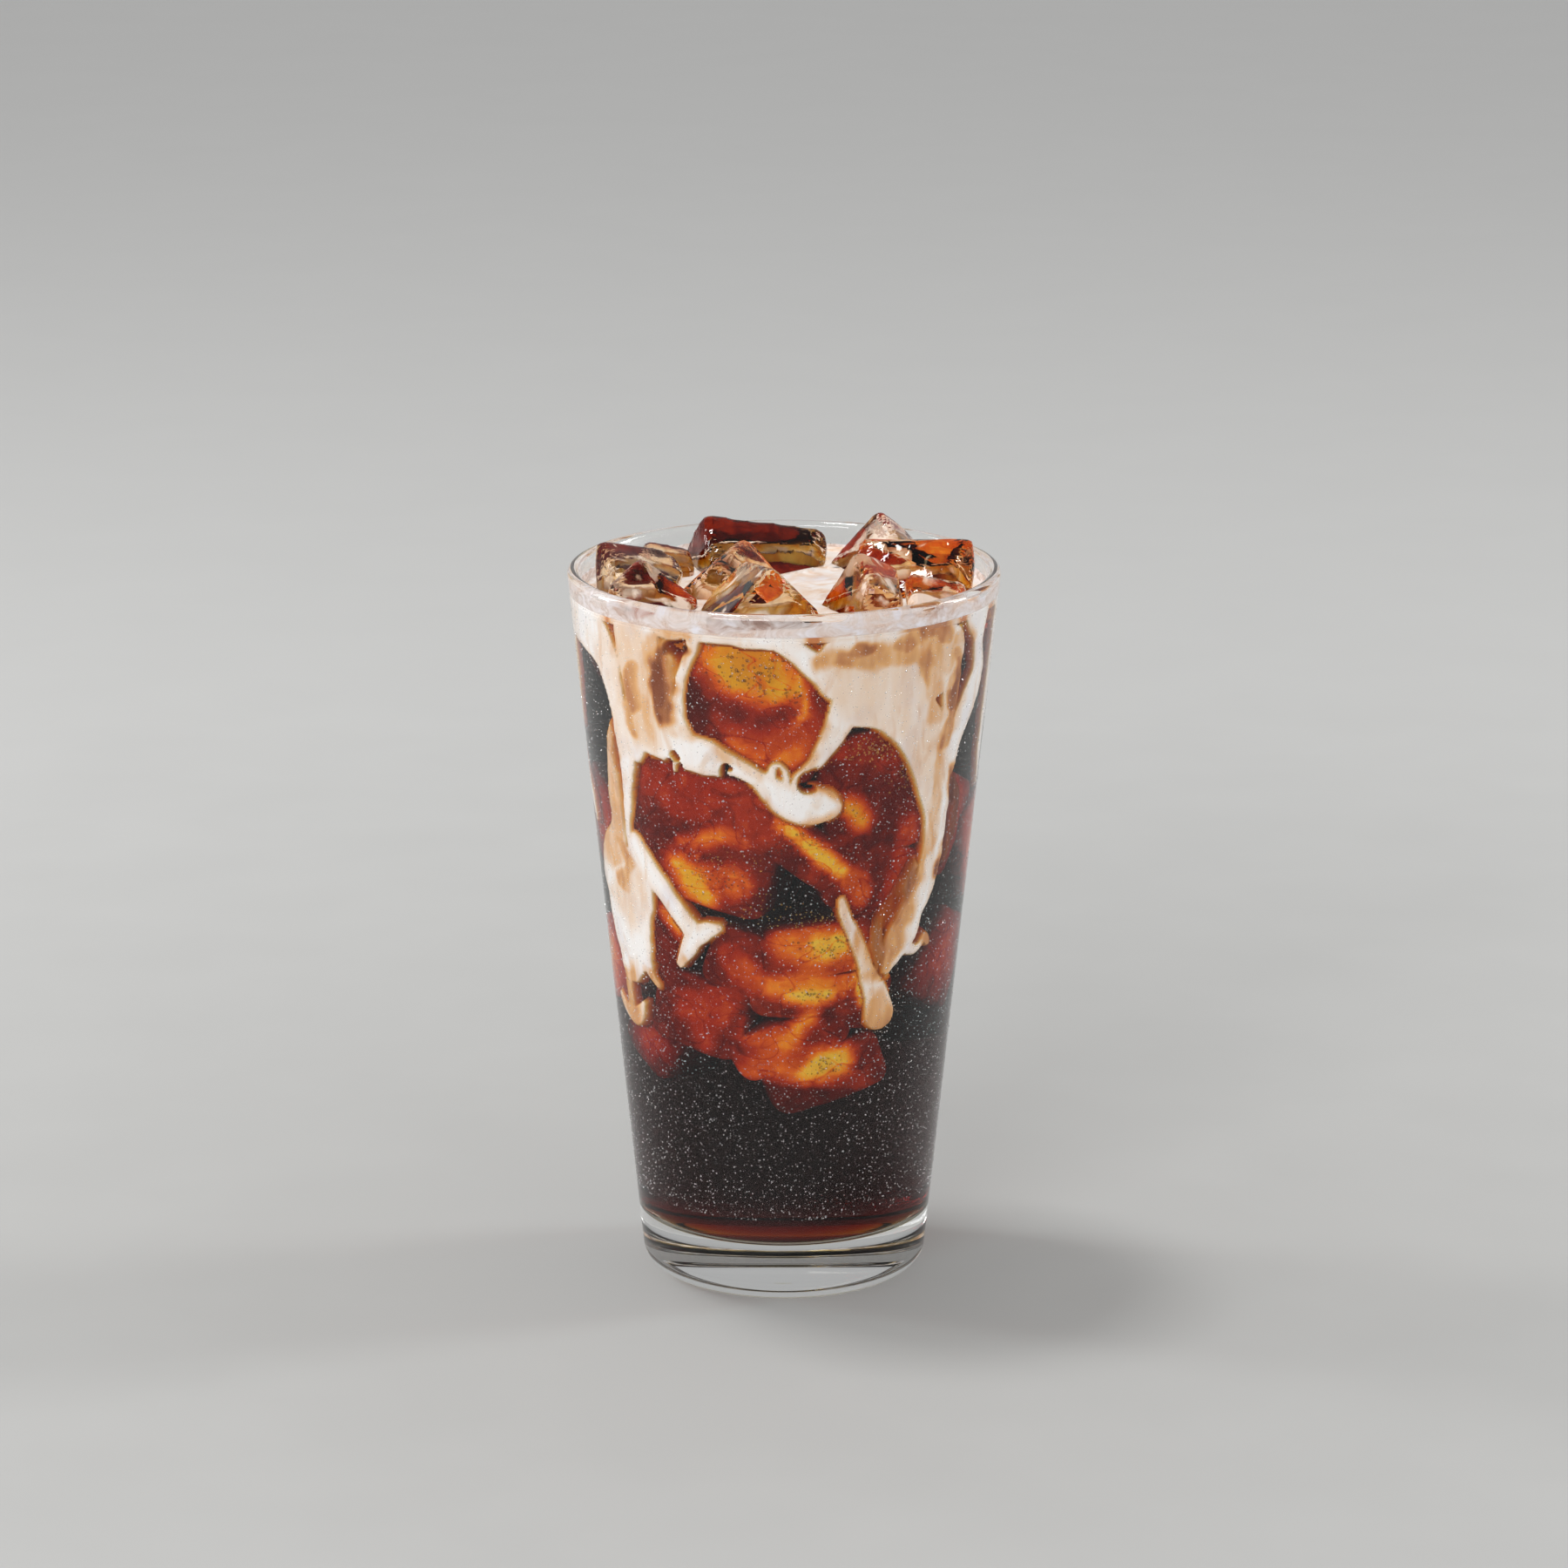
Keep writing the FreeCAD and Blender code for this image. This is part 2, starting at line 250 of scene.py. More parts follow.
def place_bmesh(name, bm, smooth=True):
    """A linked object from a bmesh in metres, which is freed."""
    mesh = bpy.data.meshes.new(name)
    bm.to_mesh(mesh)
    bm.free()
    return place_mesh(name, mesh, smooth)


def place_mesh(name, mesh, smooth=True):
    mesh.polygons.foreach_set("use_smooth", [smooth] * len(mesh.polygons))
    piece = bpy.data.objects.new(name, mesh)
    bpy.context.scene.collection.objects.link(piece)
    return piece


def settle(piece):
    """Apply a piece's modifiers to its mesh."""
    bpy.context.view_layer.update()
    seen = piece.evaluated_get(bpy.context.evaluated_depsgraph_get())
    mesh = bpy.data.meshes.new_from_object(seen)
    piece.modifiers.clear()
    old = piece.data
    piece.data = mesh
    bpy.data.meshes.remove(old)
    return piece


def drop(piece):
    mesh = piece.data
    bpy.data.objects.remove(piece)
    bpy.data.meshes.remove(mesh)


def places(mesh):
    """A mesh's vertices in millimetres."""
    flat = np.empty(len(mesh.vertices) * 3)
    mesh.vertices.foreach_get("co", flat)
    return flat.reshape(-1, 3) / MM


def put_places(mesh, points):
    mesh.vertices.foreach_set("co", (points * MM).ravel())
    mesh.update()


def normals(mesh):
    flat = np.empty(len(mesh.vertices) * 3)
    mesh.vertex_normals.foreach_get("vector", flat)
    return flat.reshape(-1, 3)


def wander(points, size, seed=0.0, detail=2):
    """Smooth noise from -1 to 1 at each point, with bumps of about a size in millimetres."""
    shift = Vector((seed * 17.3, seed * 9.1, seed * 4.7))
    return np.array([noise.fractal(Vector(p) / size + shift, 1.0, 2.0, detail) for p in points])


def arc(centre, radius, start, end, count):
    """Points round an arc in the outline's plane, from one angle to another."""
    turns = [math.radians(start + (end - start) * i / count) for i in range(count + 1)]
    return [(centre[0] + radius * math.cos(t), centre[1] + radius * math.sin(t)) for t in turns]


def lathe(outline, turns):
    """A shell from an outline of radius and height, turned about the upright axis."""
    bm = bmesh.new()
    ring = [bm.verts.new((r, 0, z)) for r, z in outline]
    edges = [bm.edges.new(pair) for pair in zip(ring, ring[1:])]
    bmesh.ops.spin(bm, geom=ring + edges, cent=(0, 0, 0), axis=(0, 0, 1), angle=math.tau,
                   steps=turns, use_merge=True)
    bmesh.ops.remove_doubles(bm, verts=bm.verts, dist=1e-4)
    bmesh.ops.recalc_face_normals(bm, faces=bm.faces)
    return bm


def steps(start, end, count):
    """Evenly spaced values from start to end, both included."""
    return [start + (end - start) * i / count for i in range(count + 1)]


# ---------------------------------------------------------------- materials


class Finish:
    """A material's node tree, with short ways to add to it."""

    def __init__(self, name):
        self.material = bpy.data.materials.new(name)
        self.material.use_nodes = True
        self.tree = self.material.node_tree
        self.tree.nodes.clear()
        self.output = self.tree.nodes.new("ShaderNodeOutputMaterial")

    def node(self, kind, **sockets):
        """A node with its sockets given by name, an underscore standing for a space."""
        made = self.tree.nodes.new("ShaderNode" + kind)
        for name, value in sockets.items():
            self.give(made.inputs[name.replace("_", " ")], value)
        return made

    def give(self, socket, value):
        """Links another node's output to a socket, or sets a constant on it."""
        if isinstance(value, bpy.types.NodeSocket):
            self.tree.links.new(value, socket)
        else:
            socket.default_value = value

    def object_places(self, scale=(1, 1, 1)):
        """Object coordinates in millimetres, stretched."""
        where = self.node("TexCoord").outputs["Object"]
        stretch = self.node("Mapping", Vector=where, Scale=[share / MM for share in scale])
        return stretch.outputs["Vector"]

    def noise(self, size, scale=(1, 1, 1), detail=3.0, roughness=0.5, distortion=0.0):
        """Noise with bumps of a size in millimetres."""
        grain = self.node("TexNoise", Vector=self.object_places(scale), Scale=1.0 / size,
                          Detail=detail, Roughness=roughness, Distortion=distortion)
        return grain.outputs["Fac"]

    def ramp(self, fac, *stops):
        """Colours along a value: each stop is a place and a colour."""
        made = self.node("ValToRGB", Fac=fac)
        marks = made.color_ramp.elements
        while len(marks) < len(stops):
            marks.new(0.5)
        for mark, (place, colour) in zip(marks, stops):
            mark.position = place
            mark.color = tuple(colour) + (1.0,)
        return made.outputs["Color"]

    def shades(self, fac, *stops):
        """A ramp whose stops are a place and a colour's three parts on a scale of 255."""
        return self.ramp(fac, *((place, linear(*parts)) for place, *parts in stops))

    def level(self, value, low, high, out_low=0.0, out_high=1.0):
        """A value stretched from one span to another and held inside it."""
        made = self.node("MapRange", Value=value, From_Min=low, From_Max=high,
                         To_Min=out_low, To_Max=out_high)
        return made.outputs["Result"]

    def mark(self, name):
        """What the mesh's own attribute holds at each point."""
        made = self.node("Attribute")
        made.attribute_name = name
        return made.outputs["Fac"]

    def reckon(self, kind, first, second):
        """One step of arithmetic on two values."""
        made = self.node("Math")
        made.operation = kind
        self.give(made.inputs[0], first)
        self.give(made.inputs[1], second)
        return made.outputs["Value"]

    def blend(self, fac, first, second, kind="MIX"):
        """Two colours mixed, or one multiplied by the other."""
        made = self.node("Mix")
        made.data_type = "RGBA"
        made.blend_type = kind
        self.give(made.inputs["Factor"], fac)
        self.give(made.inputs[6], first)
        self.give(made.inputs[7], second)
        return made.outputs[2]

    def height(self):
        """Height over the table in millimetres."""
        split = self.node("SeparateXYZ", Vector=self.object_places())
        return split.outputs["Z"]

    def bump(self, height, distance, strength=1.0):
        made = self.node("Bump", Height=height, Strength=strength, Distance=distance * MM)
        return made.outputs["Normal"]

    def clear(self, surface, tint):
        """Lets lamps, and light from dull things, shine through a surface that bends light."""
        rays = self.node("LightPath")
        open_way = self.node("BsdfTransparent", Color=tuple(tint) + (1.0,))
        for ray in ("Is Diffuse Ray", "Is Shadow Ray"):
            mixed = self.node("MixShader")
            self.give(mixed.inputs[0], rays.outputs[ray])
            self.give(mixed.inputs[1], surface)
            self.give(mixed.inputs[2], open_way.outputs[0])
            surface = mixed.outputs[0]
        return surface

    def done(self, surface, volume=None):
        self.give(self.output.inputs["Surface"], surface)
        if volume is not None:
            self.give(self.output.inputs["Volume"], volume)
        return self.material


def linear(red, green, blue):
    """A colour as it is seen, on a scale of 255, turned into light."""
    shares = [value / 255.0 for value in (red, green, blue)]
    return tuple(s / 12.92 if s <= 0.04045 else ((s + 0.055) / 1.055) ** 2.4 for s in shares)


def glass_finish(name, wetted):
    """Clear glass with a faint wave, and on its dry side fine dew between foot and lip."""
    finish = Finish(name)
    wave = finish.noise(26, detail=1.0)
    speck = finish.node("TexVoronoi", Vector=finish.object_places(), Scale=2.6, Randomness=1.0)
    drops = finish.level(speck.outputs["Distance"], 0.2, 0.0)
    height = finish.height()
    above_base = finish.level(height, DEW_LOW - 2.0, DEW_LOW + 5.0)
    below_lip = finish.level(height, GLASS_H - 4.0, GLASS_H - 9.0)
    dewy = finish.reckon("MULTIPLY", above_base, below_lip)
    normal = finish.bump(wave, 0.12)
    if not wetted:
        made = finish.node("Bump", Height=drops, Distance=0.05 * MM, Normal=normal)
        finish.give(made.inputs["Strength"], dewy)
        normal = made.outputs["Normal"]
    body = finish.node("BsdfPrincipled", Normal=normal, Base_Color=(0.985, 0.995, 0.99, 1),
                       Roughness=0.0, Transmission_Weight=1.0,
                       IOR=BEND_GLASS / BEND_WATER if wetted else BEND_GLASS)
    return finish.done(finish.clear(body.outputs[0], (0.98, 0.99, 0.985)))


def coffee_finish():
    """Clear dark drink that takes up light with depth; its bend is the wetted faces' own."""
    finish = Finish("cold brewed coffee")
    wave = finish.noise(9, detail=2.0)
    body = finish.node("BsdfPrincipled", Normal=finish.bump(wave, 0.03), Roughness=0.0, IOR=1.0,
                       Transmission_Weight=1.0)
    soak = finish.node("VolumeAbsorption", Color=(0.925, 0.74, 0.0, 1), Density=COFFEE_STRENGTH)
    return finish.done(finish.clear(body.outputs[0], (1, 1, 1)), soak.outputs[0])


def ice_finish(name, sunk, warm, milky):
    """Ice with coffee drawn over it in clear swirls, and cream in milky patches."""
    finish = Finish(name)
    wave = finish.noise(7, detail=2.0)
    swirl = finish.noise(8, detail=2.0, distortion=1.6)
    pale = [1 - warm * share for share in (0.02, 0.14, 0.36)]
    light = [1 - warm * share for share in (0.12, 0.40, 0.74)]
    deep = [1 - warm * share for share in (0.58, 0.86, 0.96)]
    tint = finish.ramp(swirl, (0.3, pale), (0.48, light), (0.66, deep))
    veil = finish.noise(7, detail=3.0, roughness=0.45, distortion=0.9)
    milk = finish.level(veil, 0.7 - 0.2 * milky, 0.78 - 0.2 * milky)
    colour = finish.blend(milk, tint, linear(244, 224, 208) + (1.0,))
    body = finish.node("BsdfPrincipled", Base_Color=colour, Normal=finish.bump(wave, 0.35, 0.5),
                       Roughness=finish.level(milk, 0.0, 1.0, 0.01, 0.25),
                       Transmission_Weight=finish.level(milk, 0.0, 1.0, 1.0, 0.3),
                       IOR=BEND_ICE / BEND_WATER if sunk else BEND_ICE)
    return finish.done(finish.clear(body.outputs[0], (0.97, 0.95, 0.92)))


def cloud_finish():
    """Cloudy ice in coffee, its colour painted light: near black where no light would come through
    it, gold where most would.
    """
    finish = Finish("cloudy ice with painted light")
    lit = finish.mark("glow")
    patches = finish.noise(3.5, detail=4.0, roughness=0.6, distortion=0.6)
    shade = finish.reckon("ADD", lit, finish.level(patches, 0.3, 0.7, -0.05, 0.05))
    # Thin lines of painted light and painted shade, only where the ice is painted lit.
    for size, much in ((13, 0.1), (9, -0.25), (6, -0.14), (7, 0.1)):
        folds = finish.noise(size, scale=(1, 1, 1.4), detail=0.0, distortion=0.7)
        off_line = finish.reckon("ABSOLUTE", finish.reckon("SUBTRACT", folds, 0.5), 0.0)
        painted_vein = finish.reckon("MULTIPLY", finish.level(off_line, 0.0, 0.03, much, 0.0), lit)
        shade = finish.reckon("ADD", shade, painted_vein)
    # The painted light runs from near black through red to gold.
    colour = finish.shades(shade, (0.0, 20, 2, 1), (0.2, 98, 14, 3), (0.4, 178, 52, 14),
                           (0.6, 230, 110, 34), (0.8, 255, 172, 58), (1.0, 255, 226, 124))
    body = finish.node("BsdfPrincipled", Base_Color=colour, Normal=finish.bump(patches, 0.25),
                       Roughness=0.7, Specular_IOR_Level=0.0)
    return finish.done(body.outputs[0])


def cream_finish(name, wet):
    """Cream: pale where it is thick, tan and brown where coffee has mixed in."""
    finish = Finish(name)
    streak = finish.noise(2.6, scale=(1, 1, 0.16), detail=2.0, roughness=0.5, distortion=0.4)
    fleck = finish.level(streak, 0.3, 0.7, 0.05, -0.05)
    pale = finish.shades(finish.mark("cream_share"), (0.05, 206, 132, 72), (0.25, 232, 182, 128),
                         (0.5, 242, 216, 188), (0.75, 246, 234, 222), (1.0, 250, 245, 240))
    stain = finish.reckon("ADD", finish.mark("coffee_stain"), fleck)
    tint = finish.shades(stain, (0.0, 250, 249, 252), (0.15, 247, 238, 234), (0.38, 240, 216, 196),
                         (0.6, 228, 176, 120), (0.8, 192, 130, 86), (1.0, 132, 76, 52))
    colour = finish.blend(1.0, pale, tint, "MULTIPLY")
    cool = finish.level(finish.noise(9, detail=2.0), 0.5, 0.75, 0.0, 0.6)
    colour = finish.blend(cool, colour, linear(230, 228, 240) + (1.0,), "MULTIPLY")
    fold = finish.noise(5, scale=(1, 1, 0.35), detail=3.0, roughness=0.55, distortion=1.2)
    warm = finish.level(fold, 0.5, 0.68, 0.0, 0.75)
    colour = finish.blend(warm, colour, linear(240, 218, 196) + (1.0,), "MULTIPLY")
    body = finish.node("BsdfPrincipled", Base_Color=colour, Roughness=0.35)
    if wet:
        finish.give(body.inputs["Specular IOR Level"], 0.0)
    else:
        finish.give(body.inputs["Normal"], finish.bump(finish.noise(0.9, detail=3.0), 0.12, 0.5))
    return finish.done(body.outputs[0])


def water_finish(name, clear):
    finish = Finish(name)
    wave = finish.noise(0.6, detail=1.0)
    # What is not clear is dull white: each drop shows as a pale dot, a painted highlight.
    body = finish.node("BsdfPrincipled", Normal=finish.bump(wave, 0.01), Roughness=0.0,
                       IOR=BEND_WATER, Transmission_Weight=clear)
    return finish.done(finish.clear(body.outputs[0], (0.97, 0.97, 0.97)))


# ---------------------------------------------------------------- glass


def glass_outline():
    """The glass from the middle of its foot, round the lip and back to the middle of its floor."""
    lip = WALL / 2.0
    heel = (outer_r(HEEL_R) - HEEL_R / LEAN_COS, HEEL_R)
    lip_at = (outer_r(GLASS_H - lip) - lip / LEAN_COS, GLASS_H - lip)
    outline = [(r, PUNT_RISE * (1 - (r / PUNT_R) ** 2)) for r in steps(0, PUNT_R, 8)]
    outline += arc(heel, HEEL_R, -90, -LEAN, 10)
    outline += [(outer_r(z), z) for z in steps(HEEL_R + 4, GLASS_H - 4, 24)]
    outline += arc(lip_at, lip, -LEAN, 180 - LEAN, 14)
    outline += [(inner_r(z), z) for z in (GLASS_H - 4, LEVEL)]
    outline += [(inner_r(z), z) for z in steps(LEVEL - 4, CORNER[1] + 2, 24)]
    outline += arc(CORNER, CORNER_R, -LEAN, -90, 8)
    outline += [(r, FLOOR) for r in steps(CORNER[0] * 0.75, 0, 3)]
    return outline


def make_glass():
    bm = lathe(glass_outline(), GLASS_TURNS)
    for face in bm.faces:
        middle = face.calc_center_median()
        reach = math.hypot(middle.x, middle.y)
        inside = middle.z > FLOOR - 0.5 and reach < outer_r(middle.z) - WALL * 0.6
        face.material_index = 1 if inside and middle.z < LEVEL else 0
    glass = finish_mesh("pint_glass", bm)
    glass.data.materials.append(glass_finish("clear glass", False))
    glass.data.materials.append(glass_finish("wetted glass", True))
    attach(glass, "root")
    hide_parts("glass")


# ---------------------------------------------------------------- ice


def remeshed(piece):
    """A cube's mesh made anew as an even one."""
    step = piece.modifiers.new("grain", "REMESH")
    step.mode = "VOXEL"
    step.voxel_size = ICE_GRAIN * MM
    return settle(piece)


def melt(piece, seed):
    """Dents a cube's surface inward and keeps it clear of the wall."""
    mesh = piece.data
    points = places(mesh)
    dents = wander(points, 7.0, seed) * 0.5 + 0.5
    points -= normals(mesh) * (np.clip(dents, 0, 1) * ICE_MELT)[:, None]
    reach = reach_of(points)
    film = FILM + FILM_SWING * wander(points, 5.0, seed + 3)
    limit = inner_r(points[:, 2]) - film
    under = points[:, 2] < LEVEL + 1.0
    share = np.where(under & (reach > limit), limit / np.maximum(reach, 1.0), 1.0)
    points[:, :2] *= share[:, None]
    put_places(mesh, points)


def standing_cube(node, seed):
    """A cube that stands out of the cream, from the frame's own."""
    bm = bmesh.new()
    bm.from_mesh(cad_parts[node].data)
    bmesh.ops.remove_doubles(bm, verts=bm.verts, dist=1e-6)
    bmesh.ops.scale(bm, vec=(1 / MM, 1 / MM, 1 / MM), verts=bm.verts)
    cube = remeshed(finish_mesh(node.replace("ice_", "cube_"), bm))
    bm = bmesh.new()
    bm.from_mesh(cube.data)
    bmesh.ops.smooth_vert(bm, verts=bm.verts, factor=0.5, use_axis_x=True, use_axis_y=True,
                          use_axis_z=True)
    bm.to_mesh(cube.data)
    bm.free()
    melt(cube, seed)
    return cube


def wall_gaps(points):
    """How far in from the wall each point lies, measured square to it."""
    return (inner_r(points[:, 2]) - reach_of(points)) * LEAN_COS


def sunken_block(bearing, depth, film, edges, turns):
    """A bevelled block turned and pushed towards the wall."""
    height = LEVEL - depth
    bm = bmesh.new()
    bmesh.ops.create_cube(bm, size=1.0)
    bmesh.ops.scale(bm, vec=edges, verts=bm.verts)
    bmesh.ops.bevel(bm, geom=list(bm.edges), offset=BLOCK_ROUND, segments=3, profile=0.5,
                    material=-1, affect="EDGES")
    for turn, axis in zip(turns, "XYZ"):
        bmesh.ops.rotate(bm, verts=bm.verts, cent=(0, 0, 0),
                         matrix=Matrix.Rotation(math.radians(turn), 3, axis))
    shape = np.array([v.co for v in bm.verts])
    reach = 10.0
    for _ in range(PUSHES):
        middle = toward(bearing) * reach + Vector((0, 0, height))
        reach += np.min(wall_gaps(shape + np.array(middle))) - film
    middle = toward(bearing) * reach + Vector((0, 0, height))
    bmesh.ops.translate(bm, vec=middle, verts=bm.verts)
    return bm


def keep_side(bm, point, normal):
    """Cut away what lies beyond a plane and close the cut."""
    geom = list(bm.verts) + list(bm.edges) + list(bm.faces)
    cut = bmesh.ops.bisect_plane(bm, geom=geom, plane_co=point, plane_no=normal,
                                 clear_outer=True)
    rim = [part for part in cut["geom_cut"] if isinstance(part, bmesh.types.BMEdge)]
    if rim:
        bmesh.ops.holes_fill(bm, edges=rim, sides=0)


def bend_to_wall(points, film):
    """Presses a shape's outer side round, so that it follows the wall at a film's distance."""
    reach = reach_of(points)
    limit = inner_r(points[:, 2], film)
    gap = limit - reach
    nearer = np.where(gap < 0, limit, limit - gap * (0.1 + 0.9 * ease(gap, 2.5, 10.0)))
    points[:, :2] *= (nearer / np.maximum(reach, 1.0))[:, None]
    return points


def painted_glow_at(points):
    """How bright the light painted on the ice is at places under the drink, from 0 to 1."""
    bearings = np.degrees(turns_of(points))
    depths = LEVEL - points[:, 2]
    light = np.full(bearings.shape, 0.2)
    shade = np.zeros(bearings.shape)
    for bright, soft, run in PAINTED_GLOWS:
        full = min(0.9 + 0.2 * soft, 2.4)
        short = np.maximum(full - stroke_reach(bearings, depths, run), 0)
        inside = np.exp(-(short / (0.85 * soft)) ** 2)
        if bright > 0:
            light = np.maximum(light, bright * inside) + 0.12 * np.minimum(light, bright * inside)
        else:
            shade = np.maximum(shade, -bright * inside)
    # Painted shade: the ice is darker the further it lies in from the wall.
    fade = np.exp(-np.maximum(wall_gaps(points) - 2.5, 0) / 6.0)
    return np.clip(light - shade, 0.12, 1.0) * fade


def make_sunken():
    """The ice under the drink: cloudy cubes painted lit where light comes through the coffee."""
    made = []
    for index, (bearing, depth, film, edges, turns) in enumerate(SUNKEN):
        bm = sunken_block(bearing, depth, film, edges, turns)
        keep_side(bm, Vector((0, 0, LEVEL - SUNKEN_TOP)), Vector((0, 0, 1)))
        cube = remeshed(finish_mesh("sunken_%02d" % index, bm))
        points = places(cube.data)
        dents = wander(points, 8.0, index + 40) * 0.5 + 0.5
        points -= normals(cube.data) * (np.clip(dents, 0, 1) * ICE_MELT * 2)[:, None]
        points = bend_to_wall(points, film)
        put_places(cube.data, points)
        middle = toward(bearing) * (inner_r(LEVEL - depth) - film)
        apart = points - np.array([middle.x, middle.y, LEVEL - depth])
        spread = np.linalg.norm(apart, axis=1) / (0.5 * min(edges[0], edges[2]))
        # Painted light, brightest about the cube's own middle.
        own = 0.30 + 0.62 * np.exp(-(spread * 1.3) ** 2)
        paint_light_on_sunken(cube.data, own, abs(bearing) > FRONT_GLOWS)
        made.append(cube)
    return made


def paint_light_on_sunken(mesh, own, aside_only):
    """Paints light on a sunk cube: the painted glows at the front, and about its own middle further
    round.
    """
    points = places(mesh)
    # Painted shade: darker the further in from the wall.
    light = own * np.exp(-np.maximum(wall_gaps(points) - 2.0, 0) / 5.0)
    if not aside_only:
        aside = ease(np.abs(np.degrees(turns_of(points))), FRONT_GLOWS, FRONT_GLOWS + 12)
        light = painted_glow_at(points) * (1 - aside) + light * aside
    write_painted_glow(mesh, points, light)


def paint_light_on_core(mesh, own):
    """Paints light on a standing cube's core by the painted glows, and evenly towards its top."""
    points = places(mesh)
    # Painted light: lighter towards the top.
    top = ease(points[:, 2], LEVEL - 13, LEVEL - 7)
    write_painted_glow(mesh, points, np.maximum(painted_glow_at(points), own * top))


def write_painted_glow(mesh, points, light):
    """Keeps the painted light at each point, with faint lumps and ridges of painted light, as the
    mesh's glow.
    """
    ridge = (1 - np.abs(wander(points, 5.0, 31.0, detail=1))) ** 9
    light = light * (1 + 0.22 * wander(points, 4.0, 30.0, detail=3)) + 0.10 * ridge * light
    # The glow attribute carries this painted light into the cloudy ice's colour.
    layer = mesh.attributes.new("glow", "FLOAT", "POINT")
    layer.data.foreach_set("value", np.clip(light, 0, 1))


def make_clouds(standing, sunken):
    """Cloudy ice with painted light: the cubes under the drink, and the low part of each standing
    one.
    """
    cores = list(sunken)
    for index, cube in enumerate(standing):
        core = place_mesh("core", cube.data.copy())
        points = places(core.data)
        centre = points.mean(axis=0)
        lumps = wander(points, 6.0, index + 80, detail=3)
        placed = centre + (points - centre) * (0.86 + 0.04 * lumps)[:, None]
        placed[:, 2] = np.minimum(placed[:, 2], LEVEL - CREAM_T - 2.0 + lumps)
        put_places(core.data, placed)
        paint_light_on_core(core.data, TINTS[CUBES[index]][2])
        cores.append(core)
    clouds = joined("ice_clouds_painted_light", cores)
    for core in cores:
        drop(core)
    clouds.data.materials.append(cloud_finish())
    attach(clouds, "root")


def joined(name, pieces):
    """One mesh from copies of several pieces."""
    bm = bmesh.new()
    for piece in pieces:
        bm.from_mesh(piece.data)
    return place_bmesh(name, bm)


def drawn_in(piece, depth):
    """A piece with its whole surface moved inward."""
    mesh = piece.data
    put_places(mesh, places(mesh) - normals(mesh) * depth)
    return piece


def cut_out(piece, tool):
    """Takes a tool's shape away from a piece."""
    step = piece.modifiers.new("ice", "BOOLEAN")
    step.operation = "DIFFERENCE"
    step.solver = "MANIFOLD"
    step.object = tool
    return settle(piece)


# ---------------------------------------------------------------- drink


def drink_outline(top, reach):
    """The drink's space from the middle of the floor to the middle of its top."""
    outline = [(r, FLOOR - reach) for r in steps(0, CORNER[0] * 0.75, 3)]
    outline += arc(CORNER, CORNER_R + reach, -90, -LEAN, 8)
    outline += [(inner_r(z, -reach), z) for z in steps(CORNER[1] + 2, top, 24)]
    outline += [(r, top) for r in steps(inner_r(top) * 0.9, 0, 6)]
    return outline


def make_coffee(hollows):
    bm = lathe(drink_outline(LEVEL - CREAM_SKIN, INTO_WALL), DRINK_TURNS)
    coffee = finish_mesh("cold_coffee", bm)
    cut_out(coffee, hollows)
    coffee.data.materials.clear()
    coffee.data.materials.append(coffee_finish())
    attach(coffee, "root")
    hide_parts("coffee")


def cream_top_outline():
    """The floating layer from the middle of its underside to the middle of its face."""
    low = LEVEL - CREAM_T
    skin = LEVEL - CREAM_SKIN
    rim = inner_r(LEVEL, -INTO_WALL)
    outline = [(r, low) for r in steps(0, inner_r(low) * 0.92, 10)]
    outline += [(inner_r(z, CREAM_BACK), z) for z in steps(low + 0.3, skin, 4)]
    outline += [(inner_r(z, -INTO_WALL), z) for z in steps(skin + 0.1, LEVEL + 0.6, 4)]
    outline += [(rim - r, LEVEL + rise) for r, rise in ((0.35, 0.3), (0.9, 0.1), (1.8, 0.0))]
    outline += [(r, LEVEL) for r in steps(rim - 2.6, 0, 30)]
    return outline


def make_cream_top(hollows):
    """The floating layer, with its edge drawn up the wall a little."""
    top = finish_mesh("cream_layer", lathe(cream_top_outline(), DRINK_TURNS))
    cut_out(top, hollows)
    points = places(top.data)
    lift = wander(points, 9.0, 5.0, detail=3)
    reach = inner_r(points[:, 2]) - reach_of(points)
    under = (points[:, 2] < LEVEL - CREAM_SKIN) & (points[:, 2] > LEVEL - CREAM_T + 0.05)
    seep = np.clip(wander(points, 4.0, 6.0) * 2.2 + 1.0, 0.1, 2.2)
    points -= normals(top.data) * ((under & (reach > 1.0)) * seep)[:, None]
    face = (points[:, 2] > LEVEL - 0.5) & (reach_of(points) < inner_r(LEVEL, -INTO_WALL) - 1)
    points[:, 2] += np.where(face, lift * 0.35, 0)
    put_places(top.data, points)
    bearings = np.degrees(turns_of(points))
    share, stain = cream_mix(bearings, np.full(len(points), 0.6), points)
    inland = ease(reach, 0.8, 3.0)
    swirl = wander(points + 3.0 * np.stack([lift, -lift, lift], axis=1), 5.0, 12.0, detail=3)
    marks = {"cream_share": 0.97 * inland + share * (1 - inland),
             "coffee_stain": np.clip(0.12 + 0.3 * swirl, 0, 0.5) * inland + stain * (1 - inland)}
    for mark, values in marks.items():
        top.data.attributes.new(mark, "FLOAT", "POINT").data.foreach_set("value", values)
    top.data.materials.clear()
    top.data.materials.append(cream_finish("cream on top", False))
    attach(top, "root")


def milk_finish():
    """A thin film of milk on glass, clearer in patches and at its upper edge."""
    finish = Finish("milk on the wall")
    smear = finish.noise(5, scale=(1, 1, 1.6), detail=3.0, roughness=0.6, distortion=0.8)
    fade = finish.level(finish.height(), LEVEL + MILK_RISE, LEVEL + 1.5, 0.55, 1.0)
    cover = finish.reckon("MULTIPLY", finish.level(smear, 0.34, 0.62, 0.3, 0.9), fade)
    colour = finish.shades(smear, (0.35, 214, 178, 160), (0.52, 236, 222, 218),
                           (0.7, 244, 240, 248))
    body = finish.node("BsdfPrincipled", Base_Color=colour, Roughness=0.4, Alpha=cover)
    return finish.done(body.outputs[0])


